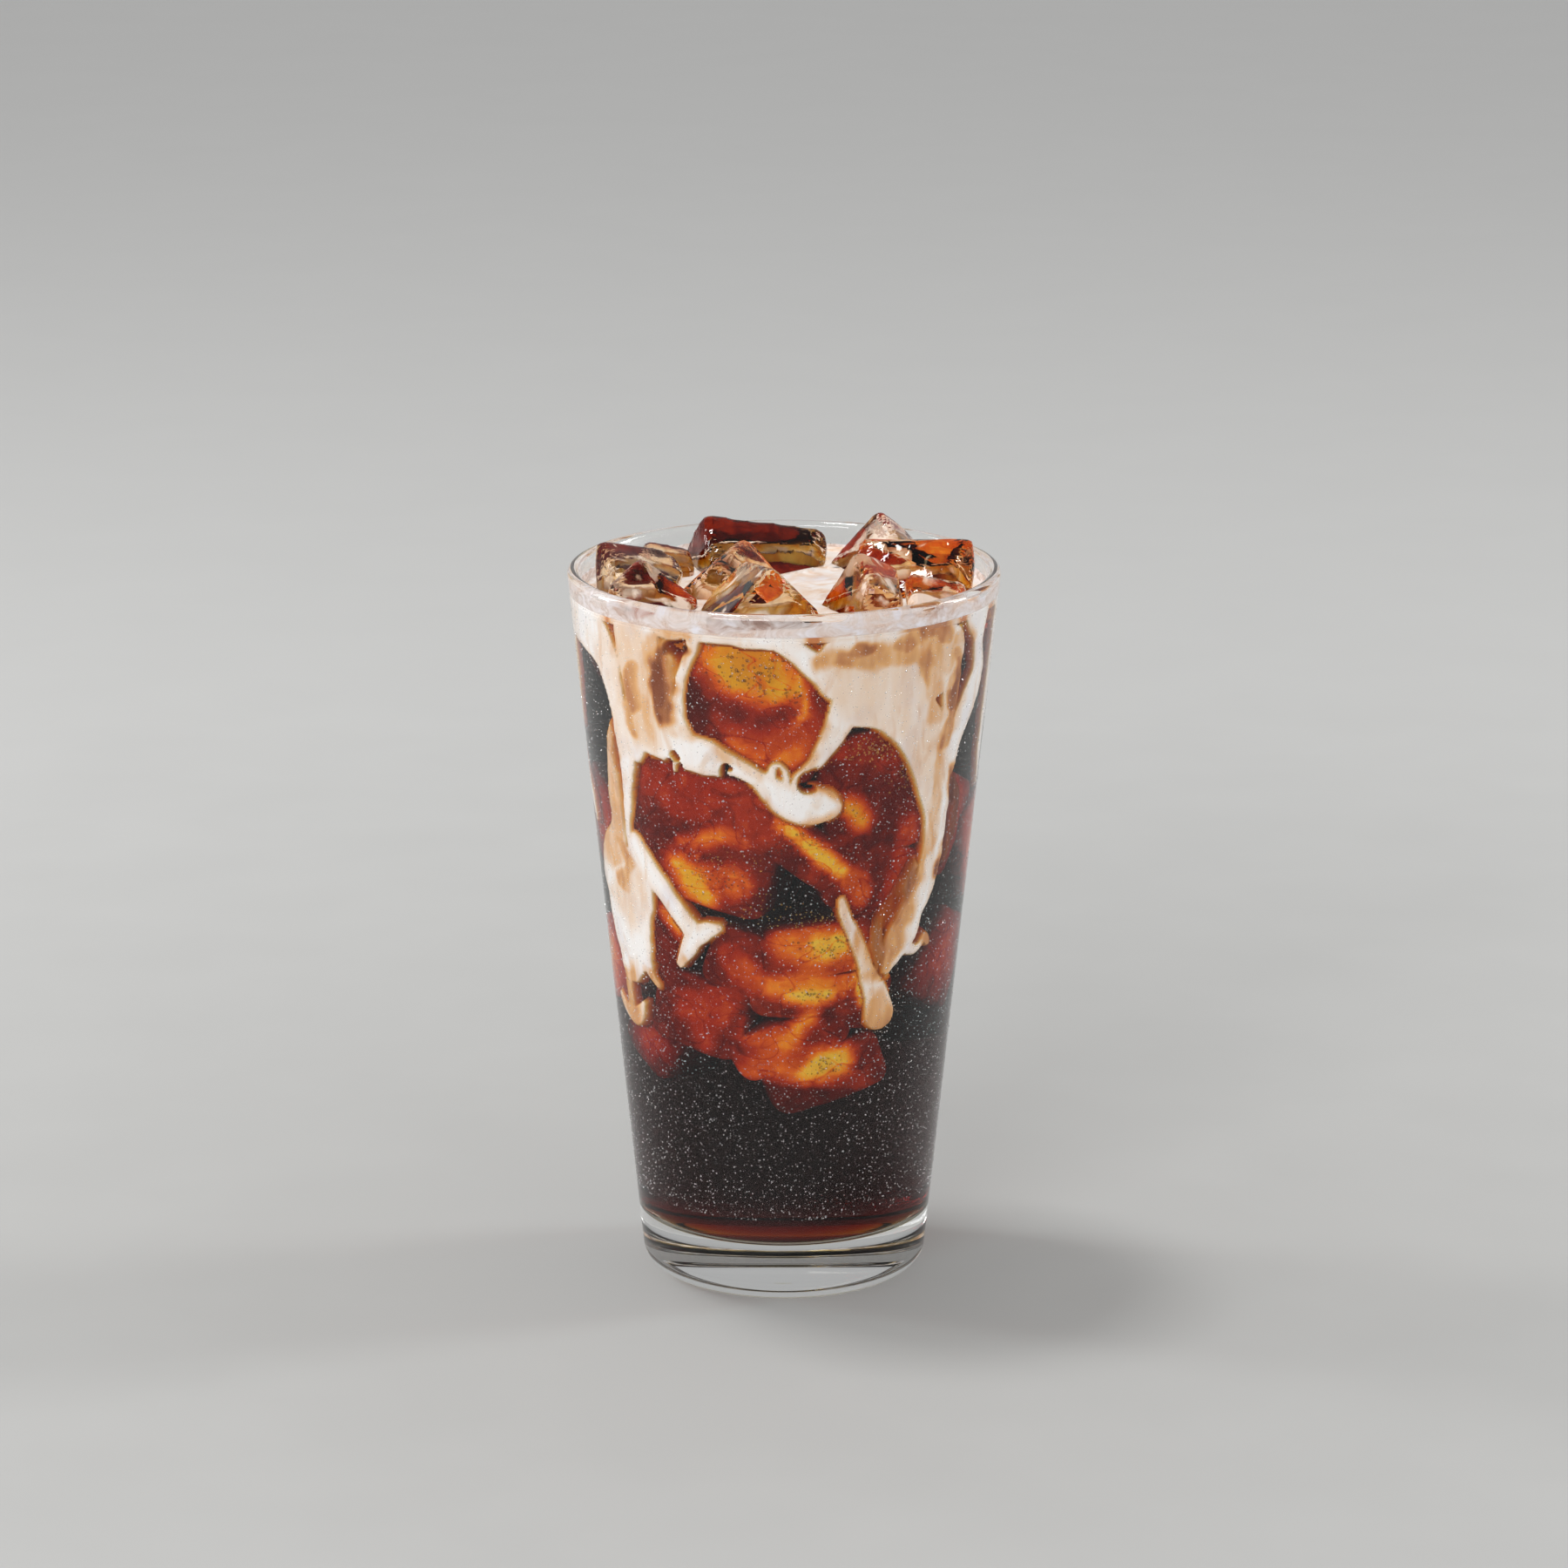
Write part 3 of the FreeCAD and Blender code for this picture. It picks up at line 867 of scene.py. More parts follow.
def make_milk_film():
    """What the foam left on the wall just over the drink, with a wavering upper edge."""
    rise = steps(0.3, MILK_RISE, 8)
    outline = [(0.0, z) for z in rise] + [(MILK_T, z) for z in reversed(rise)]
    bm = lathe([(inner_r(LEVEL + z) - depth, LEVEL + z) for depth, z in outline + outline[:1]],
               GLASS_TURNS)
    film = finish_mesh("milk_on_wall", bm)
    points = places(film.data)
    turns = turns_of(points)
    round_way = outward_at(turns)
    front = 0.5 + 0.5 * np.cos(turns)
    top = 0.24 + 0.74 * front + 0.22 * wander(round_way * 40, 9.0, 21.0, detail=3)
    depth = inner_r(points[:, 2]) - reach_of(points)
    rise = (points[:, 2] - LEVEL) * np.where(points[:, 2] > LEVEL, np.clip(top, 0.12, 1.0), 1.0)
    points = round_way * (inner_r(LEVEL + rise) - depth + 0.6 * INTO_WALL)[:, None]
    points[:, 2] = LEVEL + rise
    put_places(film.data, points)
    film.data.materials.append(milk_finish())
    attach(film, "root")


# Streams of cream sinking down the inside of the wall: how thick the cream is, from 0 to 1, how
# soft its edge is, how much coffee streaks it, and a run of bearing, depth below the face and
# half-breadth.
STREAMS = (
    # left front: the long fall into a broad mass, its tail and the crescent under it
    (1.0, 0.7, 0.0, ((-76, 0, 7.4), (-68, 3, 6.6), (-60, 7, 5.0), (-57.5, 12, 3.8),
        (-55.6, 18, 3.2), (-54.2, 24, 3.0), (-53.6, 29, 2.7), (-54.4, 34, 2.0), (-55.2, 39, 1.6),
        (-55.8, 45, 1.3), (-54.6, 49.5, 2.2), (-57, 53.5, 5.4), (-60, 57, 8.6), (-62, 61, 9.0),
        (-62, 66, 8.0), (-61, 70, 6.8), (-63, 74, 4.6))),
    (1.0, 0.6, 0.0, ((-52, 24, 2.6), (-49, 27.4, 1.8), (-47, 26.6, 1.6))),
    (0.8, 0.7, 0.0, ((-64, 74, 3.4), (-66, 78, 1.9), (-66, 82, 1.7), (-65, 85, 1.8))),
    (0.9, 0.6, 0.0, ((-75, 83, 1.0), (-71, 85, 1.8), (-65, 86, 2.2), (-60, 84.5, 1.8),
        (-57, 82.5, 0.9))),
    (0.95, 0.5, 0.0, ((-54, 72, 2.2), (-51, 75.5, 1.2), (-48, 77, 0.9))),
    # the arm thrown out of it, and the drip on the arm
    (1.0, 0.6, 0.0, ((-53, 47, 2.6), (-47, 52.5, 2.8), (-40, 57, 2.4), (-34, 61.5, 2.3),
        (-30, 64, 2.5), (-26, 63, 2.0), (-22, 62, 1.2))),
    (1.0, 0.5, 0.0, ((-31, 65, 2.4), (-34, 68, 1.8), (-37.5, 71, 1.2))),
    # the bridge under the front cube, ending in a hooked bulb
    (1.0, 0.7, 0.0, ((-52, 20, 4.0), (-45, 22.5, 4.2), (-38, 24, 3.4), (-31, 24.6, 4.2),
        (-25, 25.4, 4.2), (-19, 26.2, 3.4), (-13, 27.4, 2.4), (-8, 29.4, 2.2), (-3, 32, 3.0),
        (2, 34, 4.0), (7, 35, 4.5), (11.5, 35, 4.1))),
    (0.95, 0.5, 0.0, ((-4, 30.5, 1.4), (-3.4, 27.6, 1.0), (-1.4, 26.8, 0.7), (0.6, 28.5, 0.9),
        (1, 31, 1.0))),
    (0.95, 0.6, 0.0, ((17, 12, 2.4), (16.4, 17, 3.0), (15, 20, 2.8), (12.5, 23, 2.2),
        (10, 25.4, 1.7), (7, 27.2, 1.2), (4.4, 28.8, 1.0), (3.4, 31, 1.2), (5, 33, 1.4))),
    (1.0, 0.4, 0.0, ((-34.4, 28.2, 0.6), (-34.2, 29, 0.5))),
    # right front: over the front cube's shoulder into a broad sheet, and the fall out of it
    (1.0, 0.7, 0.0, ((-10, -3, 1.8), (-3, -0.5, 2.2), (3, 2.2, 2.5), (9, 5.6, 3.0), (15, 9, 3.8))),
    (1.0, 0.8, 0.0, ((16, 5, 5.6), (26, 7, 7.6), (36, 8, 8.4), (46, 8, 8.0), (52, 6, 6.0))),
    (1.0, 0.8, 0.0, ((20, 14, 4.6), (30, 14, 6.4), (38, 17, 6.6), (44, 22, 6.4), (48, 27, 6.2),
        (51, 32, 5.6), (52.6, 36, 4.8), (53.6, 41, 4.0), (53.8, 46, 3.6), (53, 51, 3.6),
        (50.6, 56, 3.8), (46.6, 60, 3.8), (43, 65, 4.2), (39, 69.4, 2.8), (36.6, 72.6, 1.3))),
    # the outer right stream, and the hook under it
    (1.0, 0.7, 0.0, ((66, -2, 6.0), (68, 4, 3.4), (69, 8, 2.6), (70, 13, 3.4), (66, 18, 3.8),
        (62, 22, 3.6), (59, 26, 3.2), (57, 31, 3.0))),
    (0.95, 0.5, 0.0, ((44, 68, 2.0), (48, 69.4, 1.2), (51.5, 68.6, 0.9), (53.4, 67, 1.2),
        (55, 68.6, 1.2))),
    # the thin drip, and the coffee-streaked fall between it and the sheet's
    (0.95, 0.5, 0.0, ((18.5, 56, 0.9), (20, 59, 1.4), (22.8, 62.5, 1.5), (25.5, 66.5, 1.6),
        (28, 70.5, 1.8), (31, 74.5, 2.4), (34, 79, 3.2), (35, 82, 3.6))),
    (0.62, 1.6, 0.9, ((46, 51, 1.8), (42, 56, 2.6), (37, 61, 3.2), (33, 66, 3.2), (33, 70, 2.6),
        (36, 73, 1.8))),
    # veils at the left front
    (0.96, 1.2, 0.14, ((-45, -2, 7.0), (-45, 6, 6.4), (-44, 12, 6.0), (-43, 18, 5.6),
        (-41, 23, 4.4))),
    (0.86, 1.5, 0.2, ((-34, 3, 2.6), (-34.4, 9, 2.4), (-34.8, 15, 2.2), (-33.6, 21, 2.2))),
    (0.95, 1.0, 0.1, ((-38, -1, 2.4), (-31, -0.6, 2.4), (-26, -1, 2.2))),
    (1.0, 0.8, 0.0, ((-24.4, -2, 2.0), (-26.4, 3, 1.5), (-29.2, 8, 1.4), (-31, 13, 1.4),
        (-31.4, 18, 1.6), (-29, 21.6, 1.8))),
    (0.88, 1.7, 0.16, ((-60.6, 22, 0.8), (-61.4, 26, 2.2), (-62, 31, 2.9), (-62.4, 37, 3.4),
        (-62.4, 43, 3.6), (-64, 48, 4.8), (-68, 53, 6.4), (-71, 57, 6.0))),
    (1.0, 0.7, 0.0, ((-84, 3, 4.5), (-76, 4, 4.4), (-68, 5, 3.8))),
    # the thin line of cream over the front cube
    (0.94, 0.7, 0.1, ((-30, -0.6, 1.8), (-20, -0.4, 2.0), (-8, -0.2, 2.2), (3, 0.2, 2.0))),
    (0.88, 1.4, 0.2, ((56, 4, 2.8), (55.4, 11, 3.4), (54.8, 18, 3.2), (54.6, 25, 1.8))),
    # a brown veil at the right edge
    (0.5, 1.2, 0.4, ((61.5, 34, 1.4), (65, 40, 2.4), (64.6, 46, 2.2), (61, 52, 1.4))),
)

# Streams on the sides and the far side: thickness, softness and streaks, and the runs of that kind.
FAR_STREAMS = (
    ((0.95, 0.8, 0.1), (
        ((88, 0, 5.0), (86, 8, 4.0), (84, 18, 3.0), (82, 30, 2.2), (84, 38, 1.4)),
    )),
    ((0.97, 0.8, 0.1), (
        ((106, 0, 7.0), (104, 14, 5.4), (107, 28, 3.6), (113, 40, 3.8), (112, 52, 4.6),
            (109, 60, 2.8), (110, 66, 1.5)),
        ((138, 0, 8.0), (143, 12, 6.8), (148, 25, 4.4), (151, 40, 3.2), (146, 54, 3.8),
            (143, 61, 3.0), (144, 68, 1.6)),
        ((178, 0, 7.0), (174, 13, 6.0), (168, 26, 4.0), (160, 33, 3.4), (152, 36, 2.8)),
        ((-150, 0, 7.5), (-147, 15, 6.0), (-143, 30, 4.0), (-146, 45, 4.8), (-150, 56, 3.6),
            (-151, 64, 2.2), (-150, 70, 1.4)),
        ((-143, 25, 3.2), (-156, 29, 3.6), (-170, 28, 3.4), (-179, 24, 2.8)),
        ((-106, 0, 6.5), (-104, 16, 5.0), (-101, 31, 3.6), (-98, 45, 4.0), (-97, 53, 2.8),
            (-99, 60, 1.4)),
    )),
    ((0.97, 0.7, 0.1), (
        ((-101, 32, 2.8), (-92, 38, 2.6), (-85, 42, 2.0), (-82, 46, 1.2)),
        ((108, 30, 3.0), (120, 34, 3.0), (130, 32, 2.8), (138, 26, 2.4)),
    )),
    ((0.8, 1.8, 0.6), (
        ((122, 0, 9.0), (124, 12, 7.0), (126, 22, 5.0)),
        ((160, 0, 8.0), (160, 14, 6.0), (159, 22, 4.0)),
        ((-165, 0, 8.0), (-165, 12, 7.0), (-163, 22, 5.0)),
        ((-128, 0, 9.0), (-127, 14, 7.0), (-124, 28, 5.0)),
        ((-91, 0, 6.0), (-89, 12, 4.6), (-90, 24, 3.4)),
    )),
)
STREAMS += tuple(kind + (run,) for kind, runs in FAR_STREAMS for run in runs)

# Coffee that keeps the cream apart: how softly, and a run as above.
GAPS = (
    (0.5, ((9, 27.4, 0.4), (6.6, 28.6, 0.7), (5.8, 30, 1.0), (6.6, 31.4, 0.8), (8.6, 31.6, 0.5))),
    (0.4, ((-17, 30.4, 0.8), (-18, 28.6, 0.6), (-17.2, 27, 0.6), (-15.8, 27.6, 0.4))),
    (0.4, ((-34.6, 25.6, 0.5), (-33.6, 26.6, 0.5))),
    (0.4, ((-36, 27.4, 0.6), (-36.2, 29, 0.8))),
    (0.4, ((-32.6, 28, 0.4), (-32.4, 29.4, 0.7))),
    (1.1, ((-33, 2.8, 0.5), (-30, 3.2, 0.9), (-28.6, 2.8, 0.4))),
)

# Coffee mixed into the cream: how much, from 0 to 1, how softly, and a run as above.
STAINS = (
    (0.34, 3.0, ((20, 10, 3.0), (32, 13, 6.0), (41, 17, 5.0), (46, 25, 4.2), (49, 31, 3.2))),
    (0.82, 1.4, ((18, 3.0, 0.6), (20.6, 2.8, 1.0), (24, 2.4, 0.6))),
    (0.76, 1.4, ((32, 2.4, 0.5), (36, 2.6, 0.8), (39, 2, 0.5))),
    (0.86, 1.8, ((42, 1.4, 0.8), (47, 1, 1.2), (50, 3, 0.8))),
    (0.62, 2.4, ((11, 4, 0.5), (20, 4.6, 1.2), (30, 4, 1.2), (42, 4.6, 2.0), (50, 7, 2.2))),
    (0.58, 2.6, ((44, 7, 1.0), (47.6, 12, 1.4), (49, 20, 0.8))),
    (0.6, 1.4, ((55, 4, 0.8), (60, 3.4, 1.2), (63, 6, 0.8))),
    (0.8, 1.6, ((56, 7, 0.6), (57, 12, 1.0), (56, 20, 0.8), (54.4, 26, 0.3))),
    (1.0, 1.2, ((56.4, 9, 0.3), (56.8, 12, 0.7), (55.8, 14.6, 0.3), (55.4, 18.4, 0.9))),
    (0.56, 1.4, ((53, 26, 0.4), (52, 34, 0.4), (51.4, 42, 0.5), (50, 48, 0.5), (47, 54, 0.6))),
    (0.45, 2.0, ((58, 10, 0.6), (60, 16, 0.6), (57, 22, 0.4))),
    (0.52, 1.8, ((-61, 22, 1.2), (-62.6, 29, 2.2), (-63, 36, 2.6), (-63, 43, 2.6), (-67, 49, 3.6))),
    (0.72, 1.4, ((-59.4, 25, 0.4), (-59, 28.5, 0.7), (-59.4, 32, 0.3))),
    (0.5, 2.5, ((-70, 50, 3.0), (-75, 48, 3.0))),
    (0.62, 1.8, ((-61, 48, 1.0), (-58.6, 53, 0.8), (-62, 56.4, 1.2))),
    (0.3, 3.0, ((-56, 57, 3.0), (-60, 60, 4.0))),
    (0.26, 2.0, ((-60, 6, 2.0), (-56, 14, 1.2), (-54, 26, 1.0))),
    (0.4, 3.0, ((-49, 1, 1.6), (-45.6, 8, 4.4), (-45, 15, 4.2), (-44, 21, 2.4))),
    (0.7, 2.2, ((-46.6, 8, 0.4), (-47.6, 12, 1.1), (-46.8, 16.4, 0.8))),
    (0.64, 1.8, ((-49.6, 17.6, 0.6), (-48.6, 21.6, 0.5))),
    (0.5, 1.8, ((-43.6, 15, 0.3), (-42, 19, 0.4), (-41.6, 22, 0.2))),
    (0.5, 1.6, ((-39.6, 4, 0.6), (-40, 11, 0.6), (-39, 16, 0.4))),
    (0.95, 2.4, ((-36.2, 3.4, 0.5), (-36.2, 8, 0.9), (-36.6, 13, 1.1), (-35.8, 18.6, 0.4))),
    (0.7, 1.8, ((-33, 6, 0.4), (-33.6, 12, 0.6))),
    (0.95, 1.6, ((-34, 3, 0.8), (-29.2, 3.4, 0.9))),
    (0.55, 1.4, ((-38, 2, 0.5), (-34, 0, 0.6), (-28, 0, 0.6))),
    (0.4, 1.6, ((-29, 20.4, 0.3), (-20, 22.2, 0.4), (-12, 25.6, 0.4), (-7, 28, 0.5))),
    (0.5, 1.3, ((12, 18, 0.3), (9.6, 22.4, 0.4), (6, 26, 0.5), (2, 27.5, 0.5))),
    (0.5, 1.2, ((-5, 34, 0.3), (-1, 37.6, 0.3), (5, 39.4, 0.3), (12, 39, 0.3), (16, 36, 0.3))),
    (0.6, 1.4, ((8, 31.6, 0.3), (12, 30.6, 0.4), (16, 33, 0.4))),
    (0.78, 3.0, ((44, 52, 1.4), (38, 58, 2.4), (33, 64, 2.6), (33, 70, 2.2))),
    (0.6, 2.0, ((36, 69, 1.6), (40, 66, 1.6), (44, 60, 0.8))),
    (0.6, 2.2, ((33.6, 79, 1.0), (35, 83, 2.4))),
    (0.4, 1.0, ((18, 56, 0.6), (21, 62, 0.3))),
    (0.55, 1.2, ((-37, 70.4, 0.6), (-39, 71.4, 0.8))),
    (0.64, 1.6, ((-50, 76, 1.0), (-48, 77, 0.8))),
    (0.64, 2.0, ((-62, 75.4, 0.6), (-66, 79, 1.8), (-65, 84, 2.6))),
    (0.5, 2.0, ((-72, 85, 1.0), (-60, 85, 1.0))),
    (0.88, 1.4, ((53.6, 66.6, 1.2), (55.4, 69, 1.2))),
    (0.97, 2.0, ((61, 34, 1.4), (66, 41, 2.6), (65, 47, 2.6), (60, 53, 1.4))),
)

CURTAIN_DEPTH = 92.0    # how far down the wall cream may sink
CURTAIN_GRAIN = 0.38    # the step of the sheet's mesh at the front
BEHIND_GRAIN = 0.6      # and on the far side
CURTAIN_DEEP = 2.8      # how far behind the wall the thinnest cream lies
CURTAIN_THICK = 1.8     # how much the thickest cream has over the thinnest
CURTAIN_LEAST = 0.06    # where the cream's share is less, the coffee is clear
CURTAIN_SIGHT = 8.0     # how far behind the wall a cube is looked for
RUN_STEPS = 6           # parts in each stretch of a run


def between(before, start, end, after, share):
    """A smooth value part of the way from start to end, given the values beside them."""
    return 0.5 * (2 * start + (end - before) * share
                  + (2 * before - 5 * start + 4 * end - after) * share ** 2
                  + (3 * start - before - 3 * end + after) * share ** 3)


def smooth_run(run):
    """A run with smooth stretches between its own places."""
    padded = (run[0],) + tuple(run) + (run[-1],)
    sections = []
    for index in range(len(run) - 1):
        around = list(zip(*padded[index:index + 4]))
        for step in range(RUN_STEPS):
            sections.append([between(*values, step / RUN_STEPS) for values in around])
    sections.append(list(run[-1]))
    return sections


def stroke_reach(bearings, depths, run):
    """How far inside a stream each place is, in millimetres; negative outside it."""
    best = np.full(bearings.shape, -9.0)
    radius = inner_r(LEVEL - depths) * math.pi / 180.0
    sections = smooth_run(run)
    for start, end in zip(sections, sections[1:]):
        across = wrapped(end[0] - start[0])
        away = wrapped(bearings - start[0]) * radius
        down = depths - start[1]
        run_across = across * radius
        run_down = end[1] - start[1]
        length = run_across ** 2 + run_down ** 2 + 1e-6
        share = np.clip((away * run_across + down * run_down) / length, 0, 1)
        gap = np.hypot(away - share * run_across, down - share * run_down)
        best = np.maximum(best, start[2] + (end[2] - start[2]) * share - gap)
    return best


def ease(value, low, high):
    """0 up to low, 1 from high on, and smooth between them."""
    share = np.clip((value - low) / (high - low), 0, 1)
    return share * share * (3 - 2 * share)


def cream_mix(bearings, depths, points):
    """How thick the cream is at places on the wall, and how much coffee stains it, each 0 to 1."""
    curl = wander(points, 8.0, 1.0)
    sway = wander(points, 6.0, 2.0)
    ripple = wander(points, 2.4, 3.0, detail=1)
    radius = inner_r(LEVEL - depths) * math.pi / 180.0
    bent = bearings + (curl * 0.5 + ripple * 0.22) / radius
    sunk = depths + sway * 0.5 + ripple * 0.2
    drawn = (points + 1.4 * np.stack([sway, curl, sway], axis=1)) * np.array([1, 1, 0.13])
    streaks = wander(drawn, 2.6, 4.0, detail=2)
    share = np.zeros(bearings.shape)
    stain = np.zeros(bearings.shape)
    heart = np.zeros(bearings.shape)
    for thick, soft, streaky, run in STREAMS:
        reach = stroke_reach(bent, sunk, run)
        body = np.clip(thick + streaky * (streaks * 0.9 - 0.05), 0, 1)
        grown = ease(reach, -soft * 0.4, soft) * body
        share = np.maximum(share, grown) + 0.35 * np.minimum(share, grown) * (1 - share)
        heart = np.maximum(heart, ease(reach, 0.2, 2.4) * body)
        stain = np.maximum(stain, 0.9 * streaky * (0.5 - 0.5 * streaks) * (grown > 0.02))
    for soft, run in GAPS:
        share = share * (1 - ease(stroke_reach(bent, sunk, run), -soft, soft * 0.3))
    loose = bent + (curl * 1.2 + ripple * 0.5 + streaks * 0.8) / radius
    loosely = sunk + sway * 1.2 + ripple * 0.5
    for much, soft, run in STAINS:
        inside = 1 - ease(-stroke_reach(loose, loosely, run), 0.0, soft * 1.7)
        stain = np.maximum(stain, much * inside * (1 + 0.3 * streaks))
    stain = np.maximum(stain, 0.26 * (1 - heart))
    far = ease(np.abs(bearings), 74, 84)
    band = ease(2.2 + 2.2 * streaks + 1.5 * curl - depths, -0.5, 0.5) * far
    return np.clip(np.maximum(share, band), 0, 1), np.clip(stain + 0.05 * curl, 0, 1)


def curtain_grid(low, high, step):
    """A flat grid for part of the wall, and the bearing and depth of each of its points."""
    breadth = math.radians(high - low) * inner_r(LEVEL - CURTAIN_DEPTH / 3)
    bm = bmesh.new()
    bmesh.ops.create_grid(bm, x_segments=int(breadth / step),
                          y_segments=int(CURTAIN_DEPTH / step), size=0.5)
    flat = np.array([v.co for v in bm.verts])
    return bm, low + (flat[:, 0] + 0.5) * (high - low), (0.5 - flat[:, 1]) * CURTAIN_DEPTH


def keep_cream(bm, share, stain):
    """Writes the mix on a grid and drops the faces with no cream. Gives the layer of the points'
    own numbers."""
    spot = bm.verts.layers.int.new("spot")
    share_layer = bm.verts.layers.float.new("cream_share")
    stain_layer = bm.verts.layers.float.new("coffee_stain")
    for index, vert in enumerate(bm.verts):
        vert[spot] = index
        vert[share_layer] = share[index]
        vert[stain_layer] = stain[index]
    clear = [face for face in bm.faces
             if max(vert[share_layer] for vert in face.verts) < CURTAIN_LEAST]
    bmesh.ops.delete(bm, geom=clear, context="FACES")
    return spot


def make_curtain(name, low, high, step, hollows):
    """The sinking cream on part of the wall: a sheet that lies in the wall where it is thick,
    and behind more and more coffee where it is thin."""
    bm, bearings, depths = curtain_grid(low, high, step)
    outward = outward_at(np.radians(bearings))
    heights = LEVEL - depths
    wall = outward * inner_r(heights)[:, None]
    wall[:, 2] = heights
    ways = outward * LEAN_COS
    ways[:, 2] = -LEAN_SIN
    share, stain = cream_mix(wrapped(bearings), depths, wall)
    spot = keep_cream(bm, share, stain)
    front = CURTAIN_DEEP * np.clip(1.12 * (1 - share) - 0.12, 0, 1) ** 1.7 - INTO_WALL - 0.02
    back = front + 0.35 + CURTAIN_THICK * share
    tree = BVHTree.FromBMesh(hollows)
    for vert in bm.verts:
        index = vert[spot]
        inward = Vector(-ways[index])
        hit = tree.ray_cast(Vector(wall[index]), inward, CURTAIN_SIGHT)
        if hit[0] is not None:
            back[index] = min(back[index], hit[3] - 0.06)
            front[index] = min(front[index], back[index] - 0.2)
        vert.co = Vector(wall[index]) + inward * front[index]
    grown = bmesh.ops.extrude_face_region(bm, geom=list(bm.faces), use_keep_orig=True)
    for part in grown["geom"]:
        if isinstance(part, bmesh.types.BMVert):
            index = part[spot]
            part.co += Vector(-ways[index]) * (back[index] - front[index])
    bmesh.ops.remove_doubles(bm, verts=bm.verts, dist=0.01)
    bmesh.ops.recalc_face_normals(bm, faces=bm.faces)
    curtain = finish_mesh(name, bm)
    curtain.data.materials.append(cream_finish("cream in coffee", True))
    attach(curtain, "root")
    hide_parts("cream")


# ---------------------------------------------------------------- small things


def scatter(name, template, spots, flatten):
    """Copies of a small shape, each a place, a way out and a radius, joined as one mesh."""
    template.verts.index_update()
    base = np.array([v.co for v in template.verts])
    faces = [[v.index for v in face.verts] for face in template.faces]
    template.free()
    points = []
    loops = []
    for index, (place, way, radius) in enumerate(spots):
        across = np.cross(way, (0, 0, 1))
        across /= np.linalg.norm(across)
        axes = np.stack([across, np.cross(across, way), np.array(way) * flatten])
        points.append(place + base @ axes * radius)
        loops += [[corner + index * len(base) for corner in face] for face in faces]
    mesh = bpy.data.meshes.new(name)
    mesh.from_pydata((np.concatenate(points) * MM).tolist(), [], loops)
    return place_mesh(name, mesh)


def on_wall(bearing, height, reach):
    """A place at a bearing, a height and a distance from the axis, and the way out there."""
    outward = np.array(toward(bearing))
    place = outward * reach
    place[2] = height
    return place, outward * LEAN_COS - np.array([0, 0, LEAN_SIN])


def size_between(rng, smallest, largest, power):
    """A random size: the higher the power, the more of them are small."""
    return smallest + (largest - smallest) * rng.uniform() ** power


def ball(rings, sides):
    bm = bmesh.new()
    bmesh.ops.create_uvsphere(bm, u_segments=sides, v_segments=rings, radius=1.0)
    return bm


def cap(sides, top):
    """A low cone that stands on the glass, blunt where its top has a radius."""
    bm = bmesh.new()
    bmesh.ops.create_cone(bm, cap_ends=True, segments=sides, radius1=1.0, radius2=top, depth=1.2)
    if top == 0.0:
        bmesh.ops.remove_doubles(bm, verts=bm.verts, dist=1e-4)
    bmesh.ops.translate(bm, vec=(0, 0, 0.55), verts=bm.verts)
    return bm


def dew_spots(rng, count, smallest, largest, power):
    """Drops of dew on the outside of the glass: place, way out and radius of each."""
    spots = []
    for _ in range(count):
        bearing = rng.uniform(-180, 180)
        height = DEW_LOW + (LEVEL + 1.0 - DEW_LOW) * rng.uniform() ** 1.15
        radius = size_between(rng, smallest, largest, power)
        spots.append((*on_wall(bearing, height, outer_r(height) - DEW_SUNK), radius))
    return spots


def make_dew():
    """Dew in three kinds: shape, how many, radii, how much the small ones lead, clearness. What
    is not clear is dull white, a painted highlight on each drop.
    """
    rng = np.random.default_rng(7)
    kinds = (
        ("dew_fine", cap(5, 0.0), 14000, 0.08, 0.15, 1.2, 0.8),
        ("dew_small", cap(6, 0.55), 7000, 0.1, 0.17, 1.6, 0.54),
        ("dew_drops", ball(4, 7), 1000, 0.16, 0.27, 2.2, 0.75),
    )
    for name, template, count, smallest, largest, power, clear in kinds:
        spots = dew_spots(rng, count, smallest, largest, power)
        dew = scatter(name, template, spots, DEW_FLATTEN)
        dew.data.materials.append(water_finish(name, clear))
        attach(dew, "root")


# Rings of air against the wall: bearing, depth, spread across and down, how many, and radii.
# Their edges are painted shade, dark over lit ice.
BUBBLES = (
    (-10, 7, 8.0, 4.5, 95, 0.14, 0.34),
    (1, 12, 8.0, 4.5, 45, 0.13, 0.30),
    (6, 43, 7.0, 3.0, 40, 0.12, 0.24),
    (21, 37, 4.0, 3.0, 30, 0.12, 0.22),
    (-23, 52, 8.0, 4.0, 70, 0.12, 0.24),
    (14, 66, 6.5, 3.0, 60, 0.12, 0.24),
    (8, 76, 6.5, 2.2, 40, 0.12, 0.22),
    (16, 92, 7.0, 3.0, 50, 0.12, 0.22),
)
# Rings whose edges are painted light, gold over dark coffee.
LIT_BUBBLES = (
    (27, 24, 5.5, 2.8, 120, 0.11, 0.2),
    (12, 60, 8.0, 2.0, 50, 0.10, 0.18),
    (-18, 47, 9.0, 4.0, 50, 0.10, 0.18),
    (-6, 58, 9.0, 5.0, 50, 0.10, 0.18),
    (38, 30, 4.0, 5.0, 40, 0.10, 0.18),
)
# Rings in the cream's face, their edges painted shade.
FACE_BUBBLES = (
    (12, 1.0, 30.0, 1.2, 46, 0.16, 0.42),
    (-46, 0.8, 20.0, 1.2, 26, 0.16, 0.38),
    (40, 1.0, 26.0, 1.2, 26, 0.16, 0.38),
)


